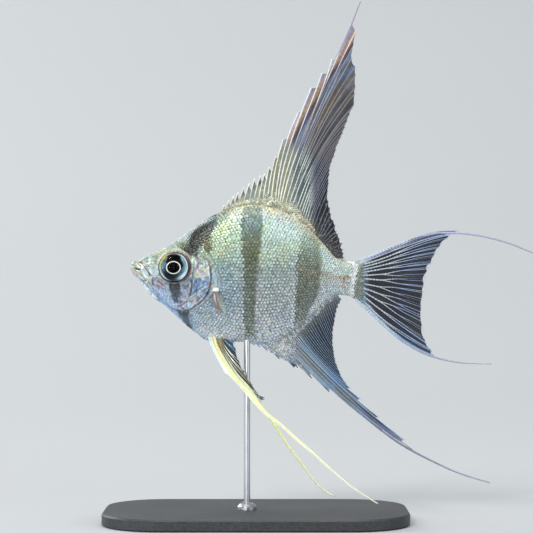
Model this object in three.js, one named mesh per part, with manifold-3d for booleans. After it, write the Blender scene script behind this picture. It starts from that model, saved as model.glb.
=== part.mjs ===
// Freshwater angelfish (Pterophyllum), a young adult, life size, swimming level
// on a plain display stand.  Millimetres.  +Z is up, the head points to -X, the
// fish's left side faces -Y.  The origin is the middle of the stand's underside.
import * as THREE from "three";
import { mergeVertices } from "three/addons/utils/BufferGeometryUtils.js";
import Module from "manifold-3d";

const wasm = await Module();
wasm.setup();

// ---------------------------------------------------------------- dimensions
const GAP = 0.3; // clearance between neighbouring pieces
const FIN_EDGE = 0.5; // fin thickness at the margin
const FIN_ROOT = 1.3; // fin thickness where it leaves the body
const SNOUT_X = -31.4; // tip of the lower jaw
const TAIL_X = 26.4; // end of the flesh inside the tail fin's base
const STEM_X = 20.0; // trunk ends, tail stem begins
const LENS = 0.68; // cross-section: 0.5 is an ellipse, 1 a pointed lens
const EYE = { x: -20.4, z: 63.4, r: 3.7, depth: 2.25, y: 2.95 };
const BASE = { length: 76, width: 44, height: 3, corner: 15, bevel: 0.4 };
const ROD = { x: -2.25, r: 0.8, top: 48, foot: 2.4, footHeight: 1.3 };

// ------------------------------------------------------------------- curves
// A shape-preserving cubic through stations [x, value].
function through(stations) {
  const n = stations.length;
  const x = stations.map((p) => p[0]);
  const y = stations.map((p) => p[1]);
  const h = [], d = [], m = new Array(n).fill(0);
  for (let i = 0; i < n - 1; i++) {
    h[i] = x[i + 1] - x[i];
    d[i] = (y[i + 1] - y[i]) / h[i];
  }
  for (let i = 1; i < n - 1; i++)
    if (d[i - 1] * d[i] > 0) {
      const a = 2 * h[i] + h[i - 1], b = h[i] + 2 * h[i - 1];
      m[i] = (a + b) / (a / d[i - 1] + b / d[i]);
    }
  m[0] = d[0];
  m[n - 1] = d[n - 2];
  return (v) => {
    if (v <= x[0]) return y[0];
    if (v >= x[n - 1]) return y[n - 1];
    let i = 0;
    while (v > x[i + 1]) i++;
    const t = (v - x[i]) / h[i], s = 1 - t;
    return (
      y[i] * (1 + 2 * t) * s * s + m[i] * h[i] * t * s * s +
      y[i + 1] * t * t * (3 - 2 * t) - m[i + 1] * h[i] * t * t * s
    );
  };
}

// The body's outline seen from the side, and its half-width seen from above.
const back = through([
  [-31.4, 63.5], [-31.0, 64.6], [-30.2, 65.1], [-29.3, 65.25], [-28, 66.1], [-24, 67.85], [-20.6, 69.8],
  [-17.2, 72.35], [-13.2, 75.05], [-8.6, 77.35], [-4.5, 79.05], [-0.5, 79.6], [3.5, 79.05],
  [8.8, 76.9], [12.9, 73.9], [17.5, 69.2], [20, 66.3], [22, 65.3], [24.2, 64.8], [26.4, 65.0],
]);
const belly = through([
  [-31.4, 63.1], [-31.0, 62.1], [-29.6, 60.6], [-27.3, 57.5], [-25.1, 55.3], [-23.6, 54.4],
  [-20, 51.3], [-15.9, 47.75], [-12.2, 45.25], [-9, 44.75], [-3.2, 44.85], [0.5, 44.1],
  [2.6, 43.8], [4.8, 44.4], [7.9, 46.5], [14.2, 51.5], [18.2, 55.4], [20.2, 56.5],
  [22, 56.5], [23.8, 56.05], [26.4, 54.2],
]);
const girth = through([
  [-31.4, 0.7], [-30.6, 1.1], [-29, 1.55], [-27, 2.15], [-24, 3.2], [-20.6, 4.15], [-17, 4.75],
  [-12, 5.2], [-8, 5.25], [-2, 5.0], [5, 4.4], [11, 3.5], [16, 2.5], [20, 1.8], [23.5, 1.4], [26.4, 0.75],
]);
const waist = through([
  [-31.4, 63.3], [-28, 62.9], [-24, 62.7], [-20, 62.3], [-12, 61.0], [-4, 60.5], [6, 60.5],
  [14, 60.8], [20, 60.9], [26.4, 60.0],
]);

// -------------------------------------------------------------------- solids
function geometryOf(points, faces) {
  const g = new THREE.BufferGeometry();
  g.setAttribute("position", new THREE.BufferAttribute(new Float32Array(points.flatMap((p) => [p.x, p.y, p.z])), 3));
  g.setIndex(faces);
  return g;
}

// Joins loops of equal length into one closed skin, with a fan at each end.
function loft(loops) {
  const n = loops[0].length, points = loops.flat(), faces = [];
  for (let i = 0; i < loops.length - 1; i++)
    for (let k = 0; k < n; k++) {
      const a = i * n + k, b = i * n + ((k + 1) % n), c = a + n, d = b + n;
      faces.push(a, b, d, a, d, c);
    }
  for (const [i, flip] of [[0, true], [loops.length - 1, false]]) {
    const mid = new THREE.Vector3();
    loops[i].forEach((p) => mid.addScaledVector(p, 1 / n));
    points.push(mid);
    for (let k = 0; k < n; k++) {
      const a = i * n + k, b = i * n + ((k + 1) % n), m = points.length - 1;
      faces.push(...(flip ? [m, b, a] : [m, a, b]));
    }
  }
  return geometryOf(points, faces);
}

function solid(geometry) {
  const g = geometry.clone();
  for (const name of Object.keys(g.attributes)) if (name !== "position") g.deleteAttribute(name);
  const m = mergeVertices(g, 1e-4);
  const make = (tri) => new wasm.Manifold(new wasm.Mesh({ numProp: 3, vertProperties: m.attributes.position.array, triVerts: tri }));
  const tri = new Uint32Array(m.index.array);
  const made = make(tri);
  if (made.volume() > 0) return made;
  for (let i = 0; i < tri.length; i += 3) [tri[i + 1], tri[i + 2]] = [tri[i + 2], tri[i + 1]];
  return make(tri);
}

function geometryFrom(manifold) {
  const m = manifold.getMesh(), n = m.numProp, v = new Float32Array(m.numVert * 3);
  for (let i = 0; i < m.numVert; i++) v.set(m.vertProperties.subarray(i * n, i * n + 3), i * 3);
  const g = new THREE.BufferGeometry();
  g.setAttribute("position", new THREE.BufferAttribute(v, 3));
  g.setIndex(new THREE.BufferAttribute(m.triVerts, 1));
  g.computeVertexNormals();
  return g;
}

// A closed side-view outline [x, z], cut straight through the fish.
function slab(outline, y0 = -30, y1 = 30) {
  const shape = new THREE.Shape(outline.map(([x, z]) => new THREE.Vector2(x, z)));
  const g = new THREE.ExtrudeGeometry(shape, { depth: y1 - y0, bevelEnabled: false });
  g.rotateX(Math.PI / 2); // outline's second coordinate becomes Z, depth becomes -Y
  g.translate(0, y1, 0);
  return solid(g);
}

function smooth(points, n) {
  const c = new THREE.CatmullRomCurve3(points.map(([x, z]) => new THREE.Vector3(x, 0, z)), false, "centripetal");
  return c.getPoints(n).map((p) => [p.x, p.z]);
}

// ---------------------------------------------------------------------- body
const AROUND = 22;
function bodyLoop(x, grow) {
  const hi = back(x) + grow, lo = belly(x) - grow, mid = Math.min(Math.max(waist(x), lo + 0.2), hi - 0.2);
  const w = Math.max(girth(x) + grow, 0.12), loop = [];
  for (let k = 0; k < AROUND; k++) {
    const a = (2 * Math.PI * k) / AROUND, c = Math.cos(a), s = Math.sin(a);
    const y = w * Math.sign(c) * Math.pow(Math.abs(c), 2 * LENS);
    loop.push(new THREE.Vector3(x, y, mid + s * (s > 0 ? hi - mid : mid - lo)));
  }
  return loop;
}
function bodySolid(grow) {
  const x0 = SNOUT_X - grow, x1 = TAIL_X + grow, n = 34, loops = [];
  for (let i = 0; i <= n; i++) {
    const t = i / n, e = 0.5 - 0.5 * Math.cos(Math.PI * t); // closer stations at both ends
    loops.push(bodyLoop(x0 + (x1 - x0) * (0.55 * t + 0.45 * e), grow));
  }
  return solid(loft(loops));
}
const body = bodySolid(0);
const bodyClear = bodySolid(GAP);

// The gill opening's edge divides the head from the trunk.
const gillEdge = [
  [-14.6, 77.5], [-14.25, 74.2], [-13.3, 70.2], [-11.8, 66.3], [-10.25, 63.75], [-9.5, 61.2],
  [-9.75, 58.5], [-11, 56], [-13.3, 53.9], [-16, 52.2], [-18, 50.4], [-19.2, 47],
];
const gillLine = smooth(gillEdge, 22);
const headRegion = slab([[-34, 47], [-34, 77.5], ...gillLine.map(([x, z]) => [x, z])]);
const trunkRegion = slab([...gillLine.map(([x, z]) => [x + GAP * 1.05, z - GAP * 0.25]), [-19.2 + GAP, 40], [40, 40], [40, 84], [-14.6 + GAP, 84]]);

// The gill cover: from the cheek's rear edge to the gill opening, 0.9 mm thick.
const coverFront = [[-11.6, 68], [-13.4, 66.9], [-15.1, 65.6], [-15.8, 63], [-16.2, 60.2], [-16.9, 57.3], [-17.6, 55.2], [-17.0, 53.6], [-14, 51.6]];
const coverLine = smooth(coverFront, 14);
const coverRegion = slab([...coverLine, [-7, 51.6], [-7, 68]]);
const coverSocket = slab([...coverLine.map(([x, z]) => [x - GAP, z - (z < 53.9 ? GAP : 0) + (z > 65.8 ? GAP : 0)]), [-7, 51.3], [-7, 68.3]]);

// The mouth opens a little, the lower jaw is a piece of its own.
const mouth = slab([[-33, 64.55], [-31.2, 64.0], [-29.15, 62.75], [-29.0, 62.5], [-31.2, 63.35], [-33, 63.7]]);
const jawEdge = [[-33, 63.6], [-31.2, 63.35], [-29.1, 62.55], [-27.6, 60.4], [-26.3, 58.2], [-25.9, 56.2], [-26, 53]];
const jawRegion = slab([...jawEdge.map(([x, z]) => [x - 0.1, z - 0.1]), [-33, 53]]);
const jawSocket = slab([...jawEdge.map(([x, z]) => [x + 0.2, z + 0.15]), [-33.5, 53], [-33.5, 63.75]]);

function ball(x, y, z, rx, ry, rz, m = 18, n = 12) {
  const g = new THREE.SphereGeometry(1, m, n);
  g.rotateX(Math.PI / 2); // poles face sideways
  g.scale(rx, ry, rz);
  g.translate(x, y, z);
  return solid(g);
}
const sides = { left: -1, right: 1 };
const eyeBall = (side, grow) => ball(EYE.x, side * EYE.y, EYE.z, EYE.r + grow, EYE.depth + grow, EYE.r + grow);

let head = body.intersect(headRegion);
const covers = head.intersect(coverRegion).subtract(bodySolid(-0.9));
head = head.subtract(coverSocket.subtract(bodySolid(-0.9 - GAP)));
const jaw = head.intersect(jawRegion).subtract(mouth);
head = head.subtract(jawSocket).subtract(mouth);
for (const s of Object.values(sides)) head = head.subtract(eyeBall(s, GAP));
const half = (s) => slab([[-40, 30], [40, 30], [40, 90], [-40, 90]], s < 0 ? -30 : 0.1, s < 0 ? -0.1 : 30);

const flesh = body.intersect(trunkRegion);
const stemCut = (x0, x1) => slab([[x0, 30], [x1, 30], [x1, 90], [x0, 90]]);
const rodHole = (() => {
  const g = new THREE.CylinderGeometry(ROD.r + GAP, ROD.r + GAP, 20, 16);
  g.rotateX(Math.PI / 2);
  g.translate(ROD.x, 0, ROD.top + GAP - 10);
  return solid(g);
})();
const trunk = flesh.intersect(stemCut(-40, STEM_X - GAP / 2)).subtract(rodHole);
const tailStem = flesh.intersect(stemCut(STEM_X + GAP / 2, 40));

// ---------------------------------------------------------------------- fins
// A fin is a web over rays.  Each table row is one key ray: where it stands on
// the fin's base, its tip's x and z, and how far it bows to the left of a
// straight line, near the base and near the tip.  Rays between are interpolated.
function rayField(table, basePoint) {
  const column = table[0].slice(1).map((_, c) => through(table.map((r) => [r[0], r[c + 1]])));
  return (at) => {
    const [bx, bz] = basePoint(at), [tx, tz, bow1, bow2] = column.map((f) => f(at));
    const dx = tx - bx, dz = tz - bz, l = Math.hypot(dx, dz) || 1, nx = -dz / l, nz = dx / l;
    return (t) => {
      const s = 1 - t, bow = 3 * s * t * (s * bow1 + t * bow2);
      return [bx + dx * t + nx * bow, bz + dz * t + nz * bow];
    };
  };
}

// points[i][j]: ray i, step j.  Two sheets half a thickness either side, closed round the rim.
function web(points, thickness) {
  const R = points.length, T = points[0].length, front = [], rear = [];
  for (let i = 0; i < R; i++)
    for (let j = 0; j < T; j++) {
      const a = points[Math.max(i - 1, 0)][j], b = points[Math.min(i + 1, R - 1)][j];
      const c = points[i][Math.max(j - 1, 0)], d = points[i][Math.min(j + 1, T - 1)];
      const n = new THREE.Vector3().crossVectors(b.clone().sub(a), d.clone().sub(c)).normalize();
      const h = thickness(j / (T - 1)) / 2;
      front.push(points[i][j].clone().addScaledVector(n, h));
      rear.push(points[i][j].clone().addScaledVector(n, -h));
    }
  const N = R * T, at = (i, j) => i * T + j, faces = [];
  for (let i = 0; i < R - 1; i++)
    for (let j = 0; j < T - 1; j++) {
      const a = at(i, j), b = at(i + 1, j), c = at(i + 1, j + 1), d = at(i, j + 1);
      faces.push(a, b, c, a, c, d, N + a, N + c, N + b, N + a, N + d, N + c);
    }
  const rim = (a, b) => faces.push(a, N + a, N + b, a, N + b, b);
  for (let i = 0; i < R - 1; i++) {
    rim(at(i, 0), at(i + 1, 0));
    rim(at(i + 1, T - 1), at(i, T - 1));
  }
  for (let j = 0; j < T - 1; j++) {
    rim(at(0, j + 1), at(0, j));
    rim(at(R - 1, j), at(R - 1, j + 1));
  }
  return solid(geometryOf([...front, ...rear], faces));
}

const thinning = (t) => FIN_ROOT + (FIN_EDGE - FIN_ROOT) * Math.min(1, t * 2.2);
function finSolid(table, basePoint, sway, rays, steps = 7, thickness = thinning) {
  const field = rayField(table, basePoint), first = table[0][0], last = table[table.length - 1][0], grid = [];
  for (let i = 0; i < rays; i++) {
    const ray = field(first + ((last - first) * i) / (rays - 1)), row = [];
    for (let j = 0; j <= steps; j++) {
      const [x, z] = ray(j / steps);
      row.push(new THREE.Vector3(x, sway(x, z), z));
    }
    grid.push(row);
  }
  return web(grid, thickness);
}

// A thread with round section along [x, z] stations, tapering from r0 to r1.
function thread(stations, sway, r0, r1, n = 14, around = 6) {
  const c = new THREE.CatmullRomCurve3(stations.map(([x, z]) => new THREE.Vector3(x, sway(x, z), z)), false, "centripetal");
  const loops = [];
  for (let i = 0; i <= n; i++) {
    const p = c.getPoint(i / n), t = c.getTangent(i / n), r = r0 + (r1 - r0) * (i / n);
    const u = new THREE.Vector3(0, 1, 0).addScaledVector(t, -t.y).normalize(), v = new THREE.Vector3().crossVectors(t, u);
    const loop = [];
    for (let k = 0; k < around; k++) {
      const a = (2 * Math.PI * k) / around;
      loop.push(p.clone().addScaledVector(u, r * Math.cos(a)).addScaledVector(v, r * Math.sin(a)));
    }
    loops.push(loop);
  }
  return solid(loft(loops));
}

// Each fin hangs a little to one side of the middle plane towards its tip.
const sq = (v) => v * v;
const swayDorsal = (x, z) => 1.6 * sq(Math.max(0, z - 80) / 50);
const swayTail = (x) => -2.6 * sq(Math.max(0, x - 26) / 49);
const swayAnal = (x, z) => 1.8 * sq(Math.max(0, 45 - z) / 35);

const DORSAL = [ // base x, tip x, tip z, bow, bow
  [-8.9, -7.7, 79.0, 0.1, 0.1], [-6.6, -4.4, 82.3, 0.2, 0.2], [-4.25, -0.4, 85.6, 0.4, 0.3], [-1.75, 3.4, 88.5, 0.6, 0.4],
  [0.6, 6.9, 95.5, 1.1, 0.7], [3.1, 13.8, 108.3, 1.9, 1.1], [5.4, 21.4, 119.2, 2.4, 1.3], [7.2, 24.1, 123.9, 2.6, 1.4],
  [8.9, 24.1, 116, 2.4, 1.3], [10.2, 24.8, 109, 2.2, 1.2], [12.5, 21, 96, 1.6, 0.9], [15, 18.1, 85.6, 0.9, 0.5],
  [17.6, 19.9, 75.2, 0.3, 0.2], [19.8, 22.2, 66.2, 0, 0],
];
const ANAL = [ // base x, tip x, tip z, bow, bow
  [-3.2, -0.4, 44.0, 0, 0], [-0.8, 2.8, 42.5, 0, 0], [1.9, 9.6, 38.2, -0.3, -0.1], [4.2, 18.2, 32.3, -0.9, -0.3],
  [5.6, 27, 25.4, -1.4, -0.5], [6.9, 37.4, 18.6, -1.8, -0.6], [7.8, 36.6, 20.4, -1.6, -0.5], [8.7, 32.2, 24.2, -1.2, -0.3],
  [11, 25.4, 31.2, -0.6, -0.1], [13.4, 21.1, 37.4, -0.3, 0], [16, 19.4, 44.6, 0, 0], [18.5, 20.2, 52.6, 0, 0], [19.6, 21.4, 55.6, 0, 0],
];
const TAIL = [ // base z, tip x, tip z, bow, bow
  [54.4, 44.2, 41.3, -2.1, -2.4], [55.3, 42.9, 43.4, -1.5, -1.7], [56.3, 42, 45.8, -1.0, -1.2], [57.4, 41.5, 48.5, -0.6, -0.7],
  [58.6, 41.3, 52.5, -0.3, -0.3], [59.6, 41.6, 56.5, 0, 0], [60.6, 42.4, 60.3, 0, 0.1], [61.6, 43.4, 64, 0.1, 0.5],
  [62.6, 44.8, 67.1, 0.2, 1.0], [63.6, 46.3, 69.8, 0.3, 1.7], [64.4, 48.3, 71.4, 0.3, 2.4], [65.2, 50.4, 72.5, 0.4, 3.2],
];
const ROOT_DEPTH = 1.3; // how deep the ray bases stand inside the body's outline
const dorsalBase = (x) => [x, back(x) - ROOT_DEPTH];
const analBase = (x) => [x, belly(x) + ROOT_DEPTH];
const tailBase = (z) => [TAIL_X - 0.6, z];
const dorsalThread = [[20.6, 117], [22.4, 120.4], [24, 124], [25.2, 127.2], [26.2, 130.1]];
const analThread = [[33, 22.2], [36.5, 19.2], [41.2, 16.3], [45.7, 14.1], [50.1, 12.1], [54.6, 10.5], [58.6, 9.4]];
const upperThread = [[40, 69.4], [44, 70.9], [48.3, 71.5], [52.4, 71.8], [56.8, 71.2], [61.3, 70.1], [65.7, 68.4], [69.3, 67.0], [73.2, 64.9]];
const lowerThread = [[40.2, 43.1], [44.2, 41.4], [47.9, 40.2], [52.4, 39.5], [58.7, 39.3]];
const UPPER_SPLIT = 52, LOWER_SPLIT = 46.5; // where the threads leave the tail fin's own piece

const dorsal = finSolid(DORSAL, dorsalBase, swayDorsal, 22).add(thread(dorsalThread, swayDorsal, 0.42, 0.25, 7)).subtract(bodyClear);
const anal = finSolid(ANAL, analBase, swayAnal, 22).add(thread(analThread, swayAnal, 0.5, 0.25, 12)).subtract(bodyClear);
const behind = (x0, z0, z1) => slab([[x0, z0], [90, z0], [90, z1], [x0, z1]]);
const tailWhole = finSolid(TAIL, tailBase, swayTail, 16)
  .add(thread(upperThread, swayTail, 0.45, 0.25, 18))
  .add(thread(lowerThread, swayTail, 0.42, 0.25, 10))
  .intersect(behind(TAIL_X + GAP, 30, 90));
const tail = tailWhole.subtract(behind(UPPER_SPLIT, 60, 90)).subtract(behind(LOWER_SPLIT, 30, 46));
const upperTip = tailWhole.intersect(behind(UPPER_SPLIT + GAP, 60, 90));
const lowerTip = tailWhole.intersect(behind(LOWER_SPLIT + GAP, 30, 46));

// The belly fins: a narrow blade behind a stiff spine, drawn out into one long feeler.
const PELVIC = [ // base x, tip x, tip z, bow, bow
  [-12.2, -7.1, 36.5, -0.4, -0.3], [-11.7, 4.4, 23.8, -2.3, -0.6], [-10.0, 3.6, 26.8, -1.2, -0.3], [-8.6, 0.95, 30.6, -1.1, -0.4],
  [-7.6, -1.1, 33.8, -0.7, -0.3], [-6.8, -2.9, 37.2, -0.3, -0.1], [-6.2, -4.65, 41, 0, 0], [-5.7, -5.35, 44, 0, 0],
];
const pelvicBase = (x) => [x, 46.2];
const FEELER = {
  left: [[2.2, 27.5], [7.06, 23.65], [9.83, 21.1], [13.3, 18.2], [16.7, 15.15], [20.2, 12.05], [23.6, 9.3], [27.05, 7.0], [30.1, 5.15]],
  right: [[2.4, 27.0], [5.73, 21.9], [7.85, 18.65], [9.98, 15.8], [12.1, 12.9], [13.84, 10.45], [15.97, 7.9], [17.8, 6.45], [19.74, 5.35]],
};
const pelvic = (s) => {
  const sway = (x, z) => sides[s] * (1.15 + 0.15 * Math.max(0, 45 - z));
  const blade = finSolid(PELVIC, pelvicBase, sway, 13, 6, () => 0.6);
  return blade.add(thread(FEELER[s], sway, 0.5, 0.25, 14)).subtract(bodyClear);
};

// The breast fins beat straight out from the flanks: a fan seen nearly edge-on from the side.
const PECTORAL = { x: -10.7, z: 58.3, foot: 1.4, long: 9.0, short: 4.4, first: 8, last: 64, rays: 7, lag: 0.28 };
const pectoral = (s) => {
  const grid = [];
  for (let i = 0; i < PECTORAL.rays; i++) {
    const k = i / (PECTORAL.rays - 1), a = THREE.MathUtils.degToRad(PECTORAL.first + (PECTORAL.last - PECTORAL.first) * k);
    const len = PECTORAL.long + (PECTORAL.short - PECTORAL.long) * k * k, row = [];
    for (let j = 0; j <= 5; j++) {
      const t = j / 5, out = len * t * Math.cos(a), down = len * t * Math.sin(a);
      row.push(new THREE.Vector3(PECTORAL.x + 0.35 * k + PECTORAL.lag * down + 0.04 * out, sides[s] * (4.6 + out), PECTORAL.z - PECTORAL.foot * k - 0.96 * down));
    }
    grid.push(row);
  }
  return web(grid, (t) => 0.8 - 0.3 * t).subtract(bodyClear);
};

// --------------------------------------------------------------------- stand
function standBase() {
  const { length: l, width: w, corner: r, bevel, height } = BASE, a = l / 2 - bevel, b = w / 2 - bevel, c = r - bevel;
  const s = new THREE.Shape();
  s.moveTo(-a + c, -b).lineTo(a - c, -b).absarc(a - c, -b + c, c, -Math.PI / 2, 0, false);
  s.lineTo(a, b - c).absarc(a - c, b - c, c, 0, Math.PI / 2, false);
  s.lineTo(-a + c, b).absarc(-a + c, b - c, c, Math.PI / 2, Math.PI, false);
  s.lineTo(-a, -b + c).absarc(-a + c, -b + c, c, Math.PI, 1.5 * Math.PI, false);
  const g = new THREE.ExtrudeGeometry(s, { depth: height - 2 * bevel, bevelEnabled: true, bevelSize: bevel, bevelThickness: bevel, bevelSegments: 1, curveSegments: 10 });
  g.translate(0, 0, bevel);
  return solid(g);
}
function standRod() {
  const h = ROD.top - BASE.height, f = ROD.footHeight;
  const profile = [[0, 0], [ROD.foot, 0], [ROD.foot, f * 0.5], [ROD.foot - 0.5, f], [ROD.r, f + 0.5], [ROD.r, h - 0.2], [ROD.r - 0.2, h], [0, h]];
  const g = new THREE.LatheGeometry(profile.map(([r, z]) => new THREE.Vector2(r, z)), 20);
  g.rotateX(Math.PI / 2);
  g.translate(ROD.x, 0, BASE.height);
  return solid(g);
}

// --------------------------------------------------------------------- model
const looks = {
  flesh: { color: 0xa9b2ad, roughness: 0.4, metalness: 0.3 },
  fin: { color: 0x767b86, roughness: 0.5, metalness: 0.1 },
  feeler: { color: 0xe6e6a0, roughness: 0.5, metalness: 0.0 },
  clear: { color: 0xb4b4b4, roughness: 0.4, metalness: 0.0 },
  eye: { color: 0x2c3a48, roughness: 0.15, metalness: 0.0 },
  base: { color: 0x2b2d30, roughness: 0.6, metalness: 0.2 },
  rod: { color: 0xb9bcc0, roughness: 0.3, metalness: 1.0 },
};
const fish = new THREE.Group(), stand = new THREE.Group(), model = new THREE.Group();
const put = (group, name, manifold, look) => {
  const mesh = new THREE.Mesh(geometryFrom(manifold), new THREE.MeshStandardMaterial(looks[look]));
  mesh.name = name;
  group.add(mesh);
};
put(fish, "head", head, "flesh");
put(fish, "jaw_lower", jaw, "flesh");
put(fish, "trunk", trunk, "flesh");
put(fish, "tail_stem", tailStem, "flesh");
put(fish, "fin_dorsal", dorsal, "fin");
put(fish, "fin_anal", anal, "fin");
put(fish, "fin_tail", tail, "fin");
put(fish, "tail_thread_upper", upperTip, "fin");
put(fish, "tail_thread_lower", lowerTip, "fin");
for (const s of Object.keys(sides)) {
  put(fish, "gill_cover_" + s, covers.intersect(half(sides[s])), "flesh");
  put(fish, "eye_" + s, eyeBall(sides[s], 0), "eye");
  put(fish, "fin_pectoral_" + s, pectoral(s), "clear");
  put(fish, "fin_pelvic_" + s, pelvic(s), "feeler");
}
put(stand, "stand_base", standBase(), "base");
put(stand, "stand_rod", standRod(), "rod");
model.add(fish, stand);

export default model;
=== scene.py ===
# A still, life-size freshwater angelfish on a plain display stand, finished in Blender around
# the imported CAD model.  Lengths are worked out in millimetres and written in metres.
import math
import bpy
import numpy as np
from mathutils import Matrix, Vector


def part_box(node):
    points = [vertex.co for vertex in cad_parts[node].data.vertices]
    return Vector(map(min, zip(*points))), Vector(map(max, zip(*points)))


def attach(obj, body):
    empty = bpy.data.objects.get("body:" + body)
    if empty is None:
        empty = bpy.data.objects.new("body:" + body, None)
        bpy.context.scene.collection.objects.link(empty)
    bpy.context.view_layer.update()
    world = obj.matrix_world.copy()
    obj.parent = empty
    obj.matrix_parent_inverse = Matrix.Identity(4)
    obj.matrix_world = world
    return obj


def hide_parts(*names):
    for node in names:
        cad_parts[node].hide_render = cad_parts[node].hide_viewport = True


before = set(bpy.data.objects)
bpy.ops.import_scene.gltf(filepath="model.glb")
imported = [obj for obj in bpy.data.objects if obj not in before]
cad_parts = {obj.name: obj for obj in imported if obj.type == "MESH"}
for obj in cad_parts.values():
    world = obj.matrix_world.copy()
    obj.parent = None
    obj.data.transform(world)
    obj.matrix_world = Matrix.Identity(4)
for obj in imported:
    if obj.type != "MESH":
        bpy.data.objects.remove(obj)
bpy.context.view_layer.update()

MM = 0.001
rng = np.random.default_rng(11)


# ------------------------------------------------------------------ small tools
def through(stations):
    """Shape-preserving cubic through [x, value] stations, for arrays."""
    x = np.array([p[0] for p in stations], float)
    y = np.array([p[1] for p in stations], float)
    h = np.diff(x)
    d = np.diff(y) / h
    m = np.zeros(len(x))
    for i in range(1, len(x) - 1):
        if d[i - 1] * d[i] > 0:
            a, b = 2 * h[i] + h[i - 1], h[i] + 2 * h[i - 1]
            m[i] = (a + b) / (a / d[i - 1] + b / d[i])
    m[0], m[-1] = d[0], d[-1]

    def f(v):
        v = np.clip(np.asarray(v, float), x[0], x[-1])
        i = np.clip(np.searchsorted(x, v) - 1, 0, len(x) - 2)
        t = (v - x[i]) / h[i]
        s = 1 - t
        return (y[i] * (1 + 2 * t) * s * s + m[i] * h[i] * t * s * s
                + y[i + 1] * t * t * (3 - 2 * t) - m[i + 1] * h[i] * t * t * s)
    return f


def step(a, b, v):
    t = np.clip((np.asarray(v, float) - a) / (b - a), 0, 1)
    return t * t * (3 - 2 * t)


def bump(v, width):
    return np.exp(-(np.asarray(v) / width) ** 2)


def lin(r, g, b):
    """An sRGB colour, 0 to 255, as linear."""
    c = np.array([r, g, b], float) / 255
    return np.where(c <= 0.04045, c / 12.92, ((c + 0.055) / 1.055) ** 2.4)


def mix(a, b, k):
    return a + (b - a) * np.asarray(k)[..., None]


def ramp(v, stops):
    """Colour along v, from [(v, (r, g, b)), ...] in sRGB."""
    at = [s[0] for s in stops]
    cs = np.array([lin(*s[1]) for s in stops])
    return np.stack([np.interp(v, at, cs[:, k]) for k in range(3)], -1)


def cells(ix, iy, iz, seed):
    h = (ix.astype(np.int64) * 374761393 + iy.astype(np.int64) * 668265263
         + iz.astype(np.int64) * 2147483647 + seed * 144665)
    h = (h ^ (h >> 13)) * 1274126177
    h = (h ^ (h >> 16)) & 0xFFFFFF
    return h / float(0xFFFFFF)


def noise(x, y, z, seed=0):
    """Smooth value noise from 0 to 1."""
    x, y, z = np.broadcast_arrays(np.asarray(x, float), np.asarray(y, float), np.asarray(z, float))
    ix, iy, iz = np.floor(x).astype(np.int64), np.floor(y).astype(np.int64), np.floor(z).astype(np.int64)
    fx, fy, fz = x - ix, y - iy, z - iz
    fx, fy, fz = (f * f * (3 - 2 * f) for f in (fx, fy, fz))
    out = 0
    for dx in (0, 1):
        for dy in (0, 1):
            for dz in (0, 1):
                w = (fx if dx else 1 - fx) * (fy if dy else 1 - fy) * (fz if dz else 1 - fz)
                out = out + w * cells(ix + dx, iy + dy, iz + dz, seed)
    return out


def cloud(x, y, z, seed=0):
    return (noise(x, y, z, seed) + 0.5 * noise(2.1 * x, 2.1 * y, 2.1 * z, seed + 1)
            + 0.25 * noise(4.3 * x, 4.3 * y, 4.3 * z, seed + 2)) / 1.75


def along(x, z, line):
    """Distance from points to a polyline, the share of its length there, and the side."""
    x, z = np.asarray(x, float), np.asarray(z, float)
    p = np.array(line, float)
    seg = np.diff(p, axis=0)
    length = np.hypot(seg[:, 0], seg[:, 1])
    before = np.concatenate([[0], np.cumsum(length)])
    best = np.full(x.shape, 1e9)
    share = np.zeros(x.shape)
    side = np.zeros(x.shape)
    for i in range(len(seg)):
        dx, dz = x - p[i, 0], z - p[i, 1]
        t = np.clip((dx * seg[i, 0] + dz * seg[i, 1]) / length[i] ** 2, 0, 1)
        ex, ez = dx - t * seg[i, 0], dz - t * seg[i, 1]
        d = np.hypot(ex, ez)
        closer = d < best
        best = np.where(closer, d, best)
        share = np.where(closer, (before[i] + t * length[i]) / before[-1], share)
        side = np.where(closer, np.sign(seg[i, 0] * dz - seg[i, 1] * dx), side)
    return best, share, side


def spline(points, n):
    """n points evenly placed on a smooth curve through the given ones."""
    p = np.array(points, float)
    d = np.concatenate([[0], np.cumsum(np.linalg.norm(np.diff(p, axis=0), axis=1))])
    s = np.linspace(0, d[-1], n)
    return np.stack([through(list(zip(d, p[:, k])))(s) for k in range(p.shape[1])], -1)


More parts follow.
